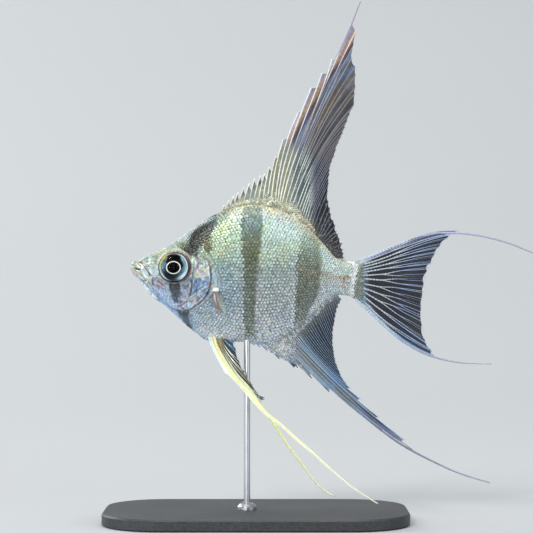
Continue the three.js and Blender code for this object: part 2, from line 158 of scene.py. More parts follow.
class Bag:
    """Gathers vertices (mm), faces and per-vertex paint for one piece."""

    def __init__(self):
        self.v, self.q, self.t, self.c, self.a, self.uv, self.n = [], [], [], [], [], [], 0

    def add(self, v, quads=None, tris=None, colour=(1, 1, 1), alpha=1.0, uv=None):
        v = np.asarray(v, float).reshape(-1, 3)
        self.v.append(v)
        if quads is not None and len(quads):
            self.q.append(np.asarray(quads, np.int64).reshape(-1, 4) + self.n)
        if tris is not None and len(tris):
            self.t.append(np.asarray(tris, np.int64).reshape(-1, 3) + self.n)
        self.c.append(np.broadcast_to(np.asarray(colour, float), (len(v), 3)))
        self.a.append(np.broadcast_to(np.asarray(alpha, float).ravel() if np.ndim(alpha) else alpha, (len(v),)))
        if uv is not None:
            self.uv.append(uv)
        self.n += len(v)

    def build(self, name, materials, replaces=(), smooth=True):
        v = np.concatenate(self.v) * MM
        q = np.concatenate(self.q) if self.q else np.zeros((0, 4), np.int64)
        t = np.concatenate(self.t) if self.t else np.zeros((0, 3), np.int64)
        me = bpy.data.meshes.new(name)
        me.vertices.add(len(v))
        me.vertices.foreach_set("co", v.astype(np.float32).ravel())
        corner = np.concatenate([q.ravel(), t.ravel()]).astype(np.int32)
        me.loops.add(len(corner))
        me.loops.foreach_set("vertex_index", corner)
        starts = np.concatenate([np.arange(len(q)) * 4, 4 * len(q) + np.arange(len(t)) * 3]).astype(np.int32)
        me.polygons.add(len(starts))
        me.polygons.foreach_set("loop_start", starts)
        me.polygons.foreach_set("use_smooth", np.full(len(starts), smooth))
        me.update(calc_edges=True)
        me.validate()
        rgba = np.concatenate([np.concatenate(self.c), np.ones((len(v), 1))], 1).astype(np.float32)
        me.color_attributes.new(name="paint", type="FLOAT_COLOR", domain="POINT").data.foreach_set("color", rgba.ravel())
        me.attributes.new("cover", "FLOAT", "POINT").data.foreach_set("value", np.concatenate(self.a).astype(np.float32))
        if self.uv:
            uv = np.concatenate(self.uv).astype(np.float32)
            me.uv_layers.new(name="OFBake").uv.foreach_set("vector", uv[corner].ravel())
        ob = bpy.data.objects.new(name, me)
        bpy.context.scene.collection.objects.link(ob)
        for m in materials if isinstance(materials, (list, tuple)) else [materials]:
            me.materials.append(m)
        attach(ob, "root")
        if replaces:
            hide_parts(*replaces)
        return ob


def grid_faces(rows, cols, wrap=False):
    i, j = np.meshgrid(np.arange(rows - 1), np.arange(cols if wrap else cols - 1), indexing="ij")
    a = i * cols + j
    b = i * cols + (j + 1) % cols
    return np.stack([a, b, b + cols, a + cols], -1).reshape(-1, 4)


NAKED_EDGE = [(-23.5, 71.5), (-21.0, 69.6), (-18.6, 67.9), (-16.4, 66.9), (-14.4, 66.6), (-12.6, 66.6), (-11.0, 65.6), (-10.0, 63.8), (-9.3, 61.4), (-9.2, 59.4), (-9.5, 58.0),
              (-11.0, 56.4), (-12.6, 54.7), (-14.4, 53.4), (-16.2, 52.3), (-17.8, 51.0), (-18.8, 49.0)]


# ---------------------------------------------------------------- the fish's form
TAIL_X = 26.4
LENS = 0.68
COAT = 0.12  # the skin lies this far inside the CAD body
back = through([
    [-31.4, 63.5], [-31.0, 64.5], [-30.6, 64.95], [-30.1, 65.12], [-29.4, 65.1], [-28.9, 65.4], [-28, 66.1], [-24, 67.85], [-20.6, 69.8],
    [-17.2, 72.35], [-13.2, 75.05], [-8.6, 77.35], [-4.5, 79.05], [-0.5, 79.6], [3.5, 79.05],
    [8.8, 76.9], [12.9, 73.9], [17.5, 69.2], [20, 66.3], [22, 65.3], [24.2, 64.8], [26.4, 65.0]])
belly = through([
    [-31.4, 63.1], [-31.0, 62.1], [-29.6, 60.6], [-27.3, 57.5], [-25.1, 55.3], [-23.6, 54.4],
    [-20, 51.3], [-15.9, 47.75], [-12.2, 45.25], [-9, 44.75], [-3.2, 44.85], [0.5, 44.1],
    [2.6, 43.8], [4.8, 44.4], [7.9, 46.5], [14.2, 51.5], [18.2, 55.4], [20.2, 56.5],
    [22, 56.5], [23.8, 56.05], [26.4, 54.2]])
girth = through([
    [-31.4, 0.7], [-30.6, 1.1], [-29, 1.55], [-27, 2.15], [-24, 3.2], [-20.6, 4.15], [-17, 4.75],
    [-12, 5.2], [-8, 5.25], [-2, 5.0], [5, 4.4], [11, 3.5], [16, 2.5], [20, 1.8], [23.5, 1.4], [26.4, 0.75]])
waist = through([
    [-31.4, 63.3], [-28, 62.9], [-24, 62.7], [-20, 62.3], [-12, 61.0], [-4, 60.5], [6, 60.5],
    [14, 60.8], [20, 60.9], [26.4, 60.0]])

eye_low, eye_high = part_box("eye_left")
EYE_X, EYE_Z = (eye_low[0] + eye_high[0]) / 2 / MM, (eye_low[2] + eye_high[2]) / 2 / MM
EYE_R = (eye_high[0] - eye_low[0]) / 2 / MM

# The eye the marks were read by stands level with the middle of the fish, half a metre away.
VIEW_X, VIEW_Z, VIEW_D = 2.625, 63.625, 500.0


def seen(x, y, z):
    k = VIEW_D / (VIEW_D - np.abs(y))
    return VIEW_X + (x - VIEW_X) * k, VIEW_Z + (z - VIEW_Z) * k


# lines on the head, in the side view
SLIT = [(-32.2, 63.8), (-31.2, 63.62), (-30.75, 63.46), (-30.25, 63.26), (-29.75, 63.02), (-29.1, 62.75)]
UPPER_LIP = [(-30.35, 64.4), (-29.9, 64.0), (-29.4, 63.3)]
MAXILLA = [(-29.6, 64.95), (-28.7, 64.4), (-27.95, 63.6), (-27.3, 62.7), (-26.8, 62.0), (-26.35, 61.2)]
JAW_SLIT = [(-26.0, 60.3), (-25.87, 59.5), (-25.4, 58.8)]
JAW_LINE = [(-29.35, 61.85), (-27.75, 60.4), (-26.25, 58.75), (-25.2, 57.3)]
LACHRYMAL = [(-25.2, 59.9), (-24.0, 59.6), (-22.9, 58.6), (-22.4, 57.0)]
PREOPERCLE = [(-15.0, 66.2), (-15.5, 64.2), (-15.8, 62.2), (-15.95, 60.2), (-16.1, 58.2), (-16.5, 56.4), (-17.4, 54.8), (-18.9, 53.7), (-20.8, 53.6), (-22.6, 54.4)]
OPERCLE = [(-13.1, 65.75), (-12.1, 65.0), (-11.5, 63.8), (-11.4, 62.3), (-11.25, 60.9), (-11.35, 59.5), (-11.7, 57.9), (-12.3, 56.65),
           (-13.25, 55.35), (-14.5, 54.2), (-16.0, 53.1), (-17.0, 52.7), (-18.6, 52.6), (-20.6, 53.0), (-22.4, 54.2)]
MEMBRANE = [(-12.4, 66.2), (-10.5, 63.4), (-9.7, 61.6), (-9.45, 59.8), (-9.6, 58.2), (-10.6, 56.6), (-12.2, 55.0), (-14.0, 53.6), (-16.0, 52.4), (-18.2, 51.6)]
SUBOPERCLE = [(-11.75, 58.6), (-13.2, 57.5), (-14.75, 56.4), (-16.4, 55.6)]
INTEROPERCLE = [(-13.25, 57.0), (-14.5, 56.05), (-16.0, 55.55), (-18.2, 55.4)]
LATERAL_FRONT = [(-11.5, 65.6), (-9.4, 67.3), (-7.25, 68.35), (-4.9, 69.2), (-3.4, 69.9), (-1.0, 70.05), (1.5, 69.85), (4.75, 69.45), (8.2, 68.4), (11.4, 66.8)]
LATERAL_REAR = [(6.3, 64.6), (9.2, 63.5), (12.2, 62.5), (15.55, 61.75), (18.2, 61.15), (22.2, 60.9), (25.6, 60.7)]


def detail(x, y, z):
    """How far the skin stands out from the plain form, in mm, and how far it draws back in the mouth."""
    xa, za = seen(x, y, z)
    out = np.zeros(np.shape(x))
    # mouth: a gap that narrows backwards, between two rolled lips
    d, s, side = along(xa, za, SLIT)
    gape = np.interp(s, [0.3, 0.46, 0.62, 0.85, 1.0], [0.28, 0.18, 0.12, 0.08, 0.03])
    slit = 1 - step(gape * 0.8, gape * 1.5 + 0.03, d)
    slit = slit * (1 - step(-29.2, -28.9, xa))
    out += 0.2 * bump(d - gape - 0.38, 0.26) * (1 - step(-29.4, -28.6, xa))
    out -= 0.12 * bump(along(xa, za, UPPER_LIP)[0], 0.13)
    # upper jaw bone and the fold over it
    d, s, side = along(xa, za, MAXILLA)
    out += 0.15 * bump(along(xa, za, [(p[0] - 0.25, p[1] - 0.25) for p in MAXILLA])[0], 0.24) * step(0, 0.15, s)
    out -= 0.2 * bump(d, 0.14) * (1 - step(0.9, 1, s))
    out += 0.12 * bump(along(xa, za, [(p[0] + 0.3, p[1] + 0.3) for p in MAXILLA])[0], 0.3)
    out -= 0.26 * bump(along(xa, za, JAW_SLIT)[0], 0.16)
    out -= 0.13 * bump(along(xa, za, JAW_LINE)[0], 0.15)
    out += 0.08 * bump(along(xa, za, [(p[0] + 0.35, p[1] + 0.35) for p in JAW_LINE])[0], 0.25)
    out -= 0.09 * bump(along(xa, za, LACHRYMAL)[0], 0.2) * (1 - step(-23.4, -22.6, xa))
    # nostril
    r = np.hypot((xa + 25.2) / 1.1, za - 65.5)
    out += 0.1 * bump(r - 0.42, 0.18) - 0.32 * bump(r, 0.26)
    # pores of the head's sense lines
    for px, pz in PORES:
        r = np.hypot(xa - px, za - pz)
        out += 0.05 * bump(r - 0.26, 0.1) - 0.1 * bump(r, 0.13)
    # eye socket with a low rim
    r = np.hypot(x - EYE_X, z - EYE_Z)
    out += 0.2 * bump(r - EYE_R - 0.42, 0.3) - 0.02 * bump(r - EYE_R - 1.15, 0.4)
    out -= 1.9 * (1 - step(EYE_R - 0.45, EYE_R + 0.12, r))
    # cheek and gill cover: plates that overlap backwards
    d, s, side = along(xa, za, PREOPERCLE)
    out += 0.12 * bump(d - 0.3, 0.35) * (side < 0) - 0.17 * bump(d, 0.15)
    out += 0.1 * bump(d - 0.8, 0.3) * (side > 0) * step(0.15, 0.3, s) * (1 - step(0.5, 0.7, s))
    d, s, side = along(xa, za, OPERCLE)
    inner = side < 0
    fade = step(0.0, 0.12, s)
    out += fade * np.where(inner, 0.32 * bump(d, 1.4), 0.0)
    out -= fade * 0.26 * bump(np.where(inner, d * 3, d), 0.25)
    for line, depth in ((SUBOPERCLE, 0.16), (INTEROPERCLE, 0.14)):
        d, s, side = along(xa, za, line)
        out += 0.1 * bump(d - 0.25, 0.22) * (side > 0) - depth * bump(d, 0.13)
    d, s, side = along(xa, za, MEMBRANE)
    out += step(0, 0.15, s) * np.where(side < 0, 0.14 * bump(d, 0.7), 0.0) - 0.12 * bump(np.where(side < 0, d * 3, d), 0.22)
    # small unevenness of the bones under the skin, and of the scaled skin
    head = 1 - step(-15, -11.5, xa)
    out += head * 0.16 * (cloud(xa * 0.8, 3.0, za * 0.8, 5) - 0.5)
    ridges = noise((xa + za) * 0.5, 1.0, (za - xa) * 1.9, 8)
    out += head * step(-23, -19, xa) * 0.09 * (ridges - 0.5)
    out += 0.06 * (cloud(xa * 0.22, 7.0, za * 0.22, 9) - 0.5)
    # where the breast fin and the belly fin grow out
    out += 0.25 * bump(np.hypot(xa + 9.9, (za - 56.6) / 1.8), 0.75)
    out += 0.3 * bump(np.hypot((xa + 10.2) / 1.5, za - 45.6), 1.0)
    return out, slit


def skin_point(x, a, y_side=1.0):
    """A point of the skin at station x and ring angle a (-90 at the belly edge, 90 at the back)."""
    x = np.asarray(x, float)
    hi, lo = back(x) - 0.06, belly(x) + 0.06
    mid = np.clip(waist(x), lo + 0.2, hi - 0.2)
    w = np.maximum(girth(x) - COAT, 0.1)
    c, s = np.cos(a), np.sin(a)
    z = mid + s * np.where(s > 0, hi - mid, mid - lo)
    y = w * np.power(np.maximum(c, 0), 2 * LENS)
    out, slit = detail(x, y, z)
    y = np.maximum(y + out * np.power(np.maximum(c, 0), 0.5), 0) * (1 - 0.8 * slit)
    x = x + slit * np.maximum(-29.15 - x, 0) * 0.9
    return np.stack([x, y_side * y, z], -1)


# Where each place on the skin lies on the flat unwrap: along the fish, and round its side.
STATIONS = np.linspace(-31.4, TAIL_X, 120)
ANGLES = np.linspace(-np.pi / 2, np.pi / 2, 181)


def girth_length(x):
    """Arc length round one side at station x, from the waist, for ANGLES."""
    hi, lo, mid = back(x), belly(x), waist(x)
    y = girth(x) * np.cos(ANGLES) ** (2 * LENS)
    z = mid + np.sin(ANGLES) * np.where(ANGLES > 0, hi - mid, mid - lo)
    d = np.concatenate([[0], np.cumsum(np.hypot(np.diff(y), np.diff(z)))])
    return d - np.interp(0.0, ANGLES, d)


ARCS = np.array([girth_length(x) for x in STATIONS])


def arc_at(x, a):
    i = np.clip((np.asarray(x) - STATIONS[0]) / (STATIONS[1] - STATIONS[0]), 0, len(STATIONS) - 1.001)
    k, f = i.astype(int), i - i.astype(int)
    j = np.clip((np.asarray(a) + np.pi / 2) / np.pi * 180, 0, 179.999)
    m, g = j.astype(int), j - j.astype(int)
    A = ARCS
    return ((A[k, m] * (1 - g) + A[k, m + 1] * g) * (1 - f) + (A[k + 1, m] * (1 - g) + A[k + 1, m + 1] * g) * f)


def unwrap(x, s, right):
    u = 0.02 + 0.96 * (np.asarray(x) + 31.6) / 62.0
    v = np.where(right, 0.75, 0.25) + np.asarray(s) / 88.0
    return np.stack([u, v], -1)


# ------------------------------------------------------------------------- paint
BAR2_L = through([(-z, x) for x, z in [(-3.2, 79.5), (-3.7, 74.2), (-3.4, 69.5), (-2.9, 65.1), (-2.7, 58.5), (-3.0, 51.8), (-2.9, 46)]])
BAR2_R = through([(-z, x) for x, z in [(1.15, 79.5), (1.3, 73.5), (1.0, 68.5), (0.5, 63.5), (0.15, 56.8), (-0.2, 51.8), (0.1, 46)]])
BAR3_L = through([(-z, x) for x, z in [(11.6, 75), (11.2, 70.8), (10.7, 67.8), (10.35, 63.8), (10.2, 59.8), (9.7, 55.1), (9.6, 49)]])
BAR3_R = through([(-z, x) for x, z in [(16.0, 72), (16.2, 69.2), (16.55, 65.1), (16.2, 61.8), (15.9, 58.5), (14.9, 55.1), (13.9, 53.1), (12.9, 50)]])
NAPE_BAR = [(-18.4, 67.75), (-17.3, 69.5), (-16.6, 71.2), (-15.8, 72.6), (-14.6, 73.5), (-13.0, 74.5), (-11.3, 75.5), (-9.8, 76.2), (-10.0, 75.0), (-10.4, 73.5),
            (-11.1, 72.25), (-11.5, 70.9), (-12.6, 70.0), (-13.5, 69.1), (-14.0, 67.75), (-14.8, 66.2), (-16.8, 66.1), (-18.0, 67.0)]


def flank(h, x):
    """The ground colour at relative height h (0 belly, 1 back) along the fish."""
    mid = ramp(h, [(0, (232, 240, 250)), (0.05, (212, 220, 228)), (0.13, (188, 196, 202)), (0.25, (172, 180, 182)), (0.38, (168, 177, 175)), (0.52, (160, 174, 170)),
                   (0.66, (184, 204, 192)), (0.80, (198, 224, 212)), (0.90, (208, 230, 220)), (0.96, (226, 226, 206)), (1, (214, 204, 172))])
    fore = ramp(h, [(0, (236, 244, 252)), (0.05, (232, 240, 246)), (0.10, (196, 208, 214)), (0.2, (176, 190, 198)), (0.3, (156, 174, 186)), (0.5, (140, 161, 167)),
                    (0.62, (158, 178, 164)), (0.75, (168, 186, 158)), (0.88, (154, 170, 146)), (1, (146, 158, 144))])
    rear = ramp(h, [(0, (206, 218, 224)), (0.2, (180, 190, 192)), (0.45, (186, 190, 180)), (0.6, (192, 208, 204)), (0.8, (182, 200, 198)), (1, (222, 216, 192))])
    head = ramp(h, [(0, (146, 184, 224)), (0.12, (146, 166, 192)), (0.3, (146, 163, 183)), (0.5, (160, 176, 186)), (0.66, (158, 170, 168)), (0.82, (134, 144, 130)), (0.92, (150, 160, 148)), (1, (184, 196, 198))])
    c = mix(mid, fore, 1 - step(-8, -1, x))
    c = mix(c, rear, step(13, 20, x))
    return mix(c, head, 1 - step(-17.5, -13, x))


def patch(x, z, poly, soft):
    """1 inside a closed outline, 0 outside, with a soft edge."""
    d, _, _ = along(x, z, list(poly) + [poly[0]])
    inside = np.zeros(np.shape(x), bool)
    for (x0, z0), (x1, z1) in zip(poly, list(poly[1:]) + [poly[0]]):
        cross = ((z0 > z) != (z1 > z)) & (x < (x1 - x0) * (z - z0) / ((z1 - z0) or 1e-9) + x0)
        inside ^= cross
    return step(-soft, soft, np.where(inside, d, -d))


# The head's marks: a spot (centre, radii), a line or an outlined patch, its colour, strength and softness.
HEAD_MARKS = [
    # brow: rosy rim, aqua band, yellow-green band
    ("line", [(-26.50, 66.25), (-24.50, 67.38), (-22.00, 68.62), (-19.50, 70.12), (-17.25, 71.75), (-14.75, 73.38)], (176, 164, 168), 0.45, 0.375),
    ("line", [(-22.50, 67.75), (-21.25, 68.35), (-19.75, 69.05), (-18.25, 70.10), (-17.00, 71.15)], (170, 204, 200), 0.50, 0.425),
    ("line", [(-25.25, 66.62), (-24.00, 67.17), (-22.50, 67.55), (-20.75, 67.85), (-19.25, 68.40), (-18.00, 69.25)], (204, 208, 132), 0.60, 0.350),
    # snout and the bone before the eye
    ("area", [(-25.25, 64.75), (-24.50, 63.75), (-24.12, 62.50), (-23.25, 61.25), (-22.50, 60.12), (-24.00, 60.50), (-25.62, 61.50), (-26.75, 63.25), (-27.25, 64.50)], (190, 210, 204), 0.55, 0.375),
    ("spot", [(-26.42, 65.30), (0.80, 0.42)], (206, 234, 234), 0.70, 0.000),
    ("spot", [(-25.20, 65.53), (0.38, 0.30)], (196, 172, 84), 0.80, 0.000),
    ("line", [(-27.20, 64.25), (-26.38, 64.53), (-25.38, 64.67)], (214, 208, 160), 0.70, 0.175),
    ("line", [(-27.10, 64.00), (-26.25, 64.20), (-25.35, 64.40)], (92, 100, 88), 0.55, 0.125),
    ("line", [(-28.12, 65.38), (-27.25, 66.05)], (120, 128, 110), 0.40, 0.200),
    # upper jaw bone and its fold
    ("area", [(-30.75, 64.38), (-30.12, 64.75), (-29.25, 63.75), (-28.62, 62.75), (-29.25, 62.85), (-30.12, 63.60)], (136, 142, 132), 0.75, 0.175),
    ("area", [(-28.95, 64.35), (-28.15, 64.25), (-27.55, 63.3), (-27.6, 62.75), (-28.6, 63.1)], (244, 248, 242), 0.95, 0.15),
    ("line", [(-30.95, 63.95), (-30.85, 64.45), (-30.45, 64.85), (-29.95, 64.95)], (206, 210, 200), 0.7, 0.12),
    ("line", [(-30.55, 64.35), (-30.05, 63.95), (-29.55, 63.35)], (84, 88, 76), 0.7, 0.11),
    ("line", [(-30.2, 64.55), (-29.6, 64.0), (-29.1, 63.35)], (214, 216, 204), 0.75, 0.13),
    ("line", [(-29.75, 64.78), (-29.00, 64.20), (-28.35, 63.45), (-27.95, 62.90)], (220, 196, 96), 0.85, 0.188),
    ("line", [(-29.60, 64.95), (-28.70, 64.45), (-27.90, 63.60), (-27.25, 62.70)], (66, 54, 36), 0.85, 0.125),
    ("line", [(-27.40, 62.65), (-26.85, 62.00), (-26.45, 61.30)], (176, 128, 78), 0.90, 0.312),
    ("line", [(-26.70, 62.62), (-26.15, 61.85)], (226, 232, 222), 0.60, 0.175),
    ("spot", [(-26.58, 62.95), (0.23, 0.20)], (244, 248, 244), 0.80, 0.000),
    ("spot", [(-28.05, 64.12), (0.17, 0.17)], (240, 246, 240), 0.70, 0.000),
    ("spot", [(-25.40, 61.20), (0.23, 0.20)], (240, 238, 240), 0.70, 0.000),
    ("spot", [(-26.45, 60.75), (0.23, 0.23)], (236, 240, 240), 0.70, 0.000),
    # lower jaw: beige lip, pale blue inset, bright blue edge
    ("area", [(-31.40, 62.95), (-30.60, 63.15), (-29.60, 62.85), (-28.70, 62.10), (-27.60, 60.90), (-26.70, 59.90), (-25.90, 58.80), (-26.60, 58.80), (-27.70, 59.80), (-29.00, 60.95), (-30.20, 61.55), (-31.20, 62.00)], (200, 192, 174), 0.9, 0.2),
    ("line", [(-31.45, 63.05), (-31.05, 63.25), (-30.60, 63.20)], (224, 216, 200), 0.85, 0.13),
    ("line", [(-30.4, 62.3), (-29.5, 62.05), (-28.7, 61.4)], (176, 172, 160), 0.5, 0.12),
    ("area", [(-28.62, 63.05), (-27.75, 62.60), (-26.85, 61.40), (-26.60, 60.45), (-27.40, 60.65), (-28.50, 61.85)], (190, 216, 220), 0.75, 0.225),
    ("spot", [(-28.25, 62.50), (0.38, 0.35)], (150, 182, 240), 0.50, 0.000),
    ("line", [(-29.10, 62.65), (-28.10, 61.50), (-27.10, 60.35), (-26.25, 59.45)], (216, 208, 158), 0.60, 0.150),
    ("line", [(-28.9, 61.5), (-27.75, 60.40), (-26.25, 58.75), (-25.25, 57.38)], (140, 138, 130), 0.5, 0.11),
    ("area", [(-30.25, 61.25), (-28.75, 60.25), (-26.75, 58.12), (-24.75, 55.62), (-25.62, 55.00), (-27.50, 57.00), (-29.80, 59.75), (-31.3, 61.6), (-31.0, 62.0)], (226, 250, 255), 0.95, 0.22),
    ("spot", [(-28.90, 60.00), (0.35, 0.30)], (96, 136, 210), 0.55, 0.000),
    ("spot", [(-26.25, 57.20), (0.30, 0.30)], (90, 140, 200), 0.55, 0.000),
    # painted shade in the slit between the jaws
    ("line", [(-26.02, 60.30), (-25.88, 59.55), (-25.38, 58.80)], (24, 24, 28), 0.95, 0.150),
    ("line", [(-26.38, 59.25), (-25.75, 58.25), (-25.15, 57.15)], (196, 180, 176), 0.50, 0.200),
    # cheek
    ("area", [(-25.80, 61.00), (-24.75, 60.85), (-23.25, 59.75), (-22.65, 58.90), (-23.50, 58.20), (-24.60, 58.75), (-25.50, 60.00)], (150, 112, 124), 0.72, 0.260),
    ("area", [(-25.62, 58.62), (-24.00, 58.12), (-22.50, 57.12), (-22.00, 55.50), (-24.25, 56.12), (-25.30, 57.38)], (184, 200, 234), 0.65, 0.325),
    ("area", [(-24.00, 56.00), (-22.50, 55.75), (-21.50, 54.75), (-19.50, 53.75), (-20.00, 53.00), (-22.50, 54.25)], (160, 196, 232), 0.50, 0.300),
    ("line", [(-22.75, 56.50), (-21.62, 55.75), (-20.88, 55.12)], (216, 206, 176), 0.50, 0.200),
    ("spot", [(-17.90, 56.70), (0.42, 0.45)], (176, 128, 138), 0.65, 0.000),
    ("area", [(-18.90, 55.12), (-18.10, 55.25), (-17.65, 54.25), (-17.60, 53.10), (-18.75, 53.10), (-19.40, 54.05)], (132, 84, 104), 0.72, 0.240),
    ("area", [(-17.40, 56.75), (-16.95, 56.15), (-16.90, 54.75), (-17.50, 55.00)], (206, 226, 236), 0.65, 0.150),
    ("spot", [(-17.30, 55.10), (0.23, 0.30)], (44, 50, 60), 0.60, 0.000),
    ("area", [(-18.75, 58.90), (-17.50, 60.15), (-16.00, 61.35), (-15.65, 60.25), (-15.85, 57.50), (-16.40, 56.15), (-17.50, 57.75), (-18.35, 58.10)], (62, 82, 112), 0.85, 0.250),
    ("line", [(-18.75, 58.00), (-18.00, 58.85), (-17.00, 59.60)], (150, 160, 160), 0.45, 0.200),
    ("line", [(-16.35, 60.75), (-16.10, 59.25), (-16.35, 57.50), (-16.65, 55.90)], (80, 74, 70), 0.75, 0.138),
    ("line", [(-16.80, 60.00), (-16.55, 58.75), (-16.90, 57.50), (-17.35, 56.25)], (204, 192, 160), 0.60, 0.138),
    # behind the eye
    ("area", [(-16.40, 65.40), (-15.25, 65.90), (-14.95, 64.60), (-15.65, 63.25), (-16.10, 62.25), (-16.35, 63.75)], (216, 238, 218), 0.85, 0.175),
    ("spot", [(-15.70, 64.70), (0.40, 0.55)], (160, 216, 132), 0.60, 0.000),
    ("area", [(-17.50, 66.60), (-16.40, 66.45), (-16.40, 65.75), (-17.10, 65.60)], (72, 40, 40), 0.75, 0.175),
    ("area", [(-14.95, 65.60), (-14.15, 66.20), (-13.95, 64.75), (-14.15, 63.25), (-14.75, 62.00), (-15.35, 62.05), (-14.85, 64.00)], (160, 108, 150), 0.85, 0.160),
    ("spot", [(-14.60, 64.35), (0.25, 0.23)], (226, 190, 220), 0.60, 0.000),
    ("line", [(-15.52, 63.50), (-15.75, 62.38), (-15.95, 61.25)], (90, 108, 170), 0.80, 0.175),
    # upper part of the gill cover, iridescent
    ("area", [(-14.15, 65.50), (-13.00, 65.60), (-11.85, 64.75), (-11.50, 63.25), (-12.00, 61.50), (-13.25, 60.50), (-15.25, 60.50), (-15.40, 61.75), (-14.50, 63.25)], (218, 212, 196), 0.72, 0.200),
    ("area", [(-14.10, 65.45), (-13.25, 65.35), (-13.00, 64.15), (-13.65, 64.35)], (140, 222, 200), 0.85, 0.113),
    ("area", [(-14.25, 64.20), (-13.35, 64.00), (-13.20, 63.45), (-14.15, 63.55)], (190, 234, 220), 0.85, 0.100),
    ("line", [(-14.05, 65.00), (-13.65, 64.50), (-13.15, 63.85)], (24, 36, 38), 0.90, 0.105),
    ("area", [(-13.10, 65.00), (-12.00, 64.25), (-11.95, 63.60), (-12.90, 63.75)], (136, 168, 184), 0.75, 0.125),
    ("line", [(-14.15, 63.33), (-13.00, 63.45), (-11.85, 63.78)], (84, 74, 84), 0.70, 0.100),
    ("line", [(-13.35, 63.08), (-12.50, 62.95), (-11.80, 63.35)], (240, 230, 150), 0.85, 0.200),
    ("area", [(-14.25, 62.75), (-13.00, 62.75), (-12.80, 61.75), (-14.00, 61.50)], (160, 158, 196), 0.75, 0.175),
    ("spot", [(-14.95, 61.50), (0.47, 0.57)], (222, 234, 150), 0.85, 0.000),
    ("spot", [(-14.10, 61.00), (0.38, 0.30)], (214, 206, 190), 0.60, 0.000),
    ("line", [(-12.75, 60.90), (-12.15, 61.65), (-11.75, 62.60)], (226, 204, 150), 0.75, 0.200),
    ("spot", [(-12.65, 60.95), (0.20, 0.20)], (36, 36, 56), 0.80, 0.000),
    ("spot", [(-13.35, 62.15), (0.23, 0.20)], (222, 170, 190), 0.60, 0.000),
    ("line", [(-13.10, 65.75), (-12.00, 65.00), (-11.12, 64.25), (-10.25, 63.25)], (158, 122, 100), 0.80, 0.212),
    # gill cover: denim blue plates between pale ridges
    ("area", [(-15.50, 61.00), (-13.25, 60.40), (-11.75, 61.50), (-11.40, 60.25), (-11.50, 59.10), (-12.75, 58.65), (-14.25, 57.75), (-15.60, 56.65), (-15.85, 58.75)], (84, 122, 168), 0.88, 0.200),
    ("line", [(-15.25, 58.75), (-14.00, 59.50), (-12.50, 60.50)], (146, 178, 208), 0.55, 0.175),
    ("line", [(-15.00, 57.75), (-13.50, 58.85), (-12.00, 59.90)], (128, 160, 200), 0.50, 0.200),
    ("line", [(-14.88, 60.25), (-14.10, 59.75)], (140, 200, 220), 0.50, 0.225),
    ("line", [(-11.85, 58.90), (-13.00, 58.25), (-14.25, 57.25), (-15.75, 56.40)], (196, 222, 226), 0.85, 0.175),
    ("line", [(-11.75, 58.55), (-13.25, 57.55), (-14.75, 56.45), (-16.50, 55.70)], (52, 62, 90), 0.75, 0.125),
    ("line", [(-13.25, 57.00), (-14.50, 56.05), (-16.00, 55.55), (-18.25, 55.40)], (198, 190, 180), 0.75, 0.188),
    ("area", [(-11.85, 58.35), (-11.75, 57.65), (-12.50, 56.50), (-14.00, 55.25), (-14.65, 55.45), (-13.25, 57.00)], (74, 114, 168), 0.82, 0.150),
    ("area", [(-16.50, 55.25), (-15.00, 55.50), (-15.00, 54.40), (-16.25, 54.00)], (212, 190, 186), 0.65, 0.175),
    ("area", [(-18.00, 54.50), (-15.00, 54.25), (-15.75, 53.15), (-17.50, 52.85), (-18.50, 53.75)], (172, 198, 224), 0.60, 0.200),
    ("line", [(-12.25, 56.60), (-13.25, 55.35), (-14.50, 54.20), (-16.00, 53.10), (-16.90, 52.70)], (190, 152, 112), 0.85, 0.200),
    ("line", [(-11.60, 63.75), (-11.45, 62.38), (-11.25, 60.88), (-11.38, 59.50), (-11.65, 58.00), (-12.15, 56.75)], (36, 28, 34), 0.7, 0.14),
    ("spot", [(-12.10, 56.90), (0.28, 0.35)], (84, 44, 70), 0.70, 0.000),
    ("spot", [(-11.20, 58.95), (0.25, 0.60)], (204, 140, 80), 0.85, 0.000),
    ("spot", [(-11.10, 59.70), (0.20, 0.20)], (236, 218, 172), 0.80, 0.000),
    ("area", [(-11.20, 63.25), (-10.50, 63.15), (-9.90, 61.75), (-9.80, 59.75), (-10.50, 59.25), (-10.95, 60.25), (-11.10, 61.75)], (150, 180, 198), 0.75, 0.175),
    ("line", [(-10.35, 63.25), (-9.65, 61.50), (-9.40, 59.50), (-9.60, 58.25)], (188, 176, 176), 0.60, 0.175),
    # throat
    ("area", [(-20.00, 52.90), (-19.00, 52.80), (-16.50, 53.00), (-16.80, 51.20), (-16.60, 49.80), (-16.00, 48.20), (-16.60, 47.60), (-17.70, 49.20), (-19.10, 51.40)], (36, 45, 52), 0.9, 0.30),
    ("area", [(-19.40, 69.30), (-18.20, 69.60), (-17.60, 68.60), (-18.60, 67.50), (-19.20, 68.20)], (80, 74, 54), 0.60, 0.350),
    ("line", [(-20.50, 70.40), (-19.00, 71.30), (-17.50, 72.20), (-16.00, 73.00)], (178, 208, 186), 0.60, 0.420),
    ("area", [(-11.60, 57.40), (-11.10, 57.40), (-11.30, 55.60), (-12.00, 55.80)], (50, 88, 128), 0.70, 0.200),
    ("area", [(-11.60, 53.60), (-10.20, 53.80), (-9.80, 52.30), (-11.00, 52.20)], (190, 216, 246), 0.80, 0.220),
    ("line", [(-18.75, 52.70), (-17.25, 52.70), (-16.25, 53.05)], (222, 232, 242), 0.60, 0.125),
    # olive patch behind the nape bar, pale aqua between them
    ("area", [(-14.00, 70.10), (-11.75, 70.35), (-11.50, 68.50), (-11.00, 67.75), (-12.50, 66.65), (-13.40, 68.50)], (84, 78, 46), 0.85, 0.300),
    ("area", [(-14.50, 69.10), (-13.50, 68.50), (-12.90, 66.75), (-14.25, 66.00), (-15.10, 67.25)], (140, 160, 148), 0.55, 0.300),
]
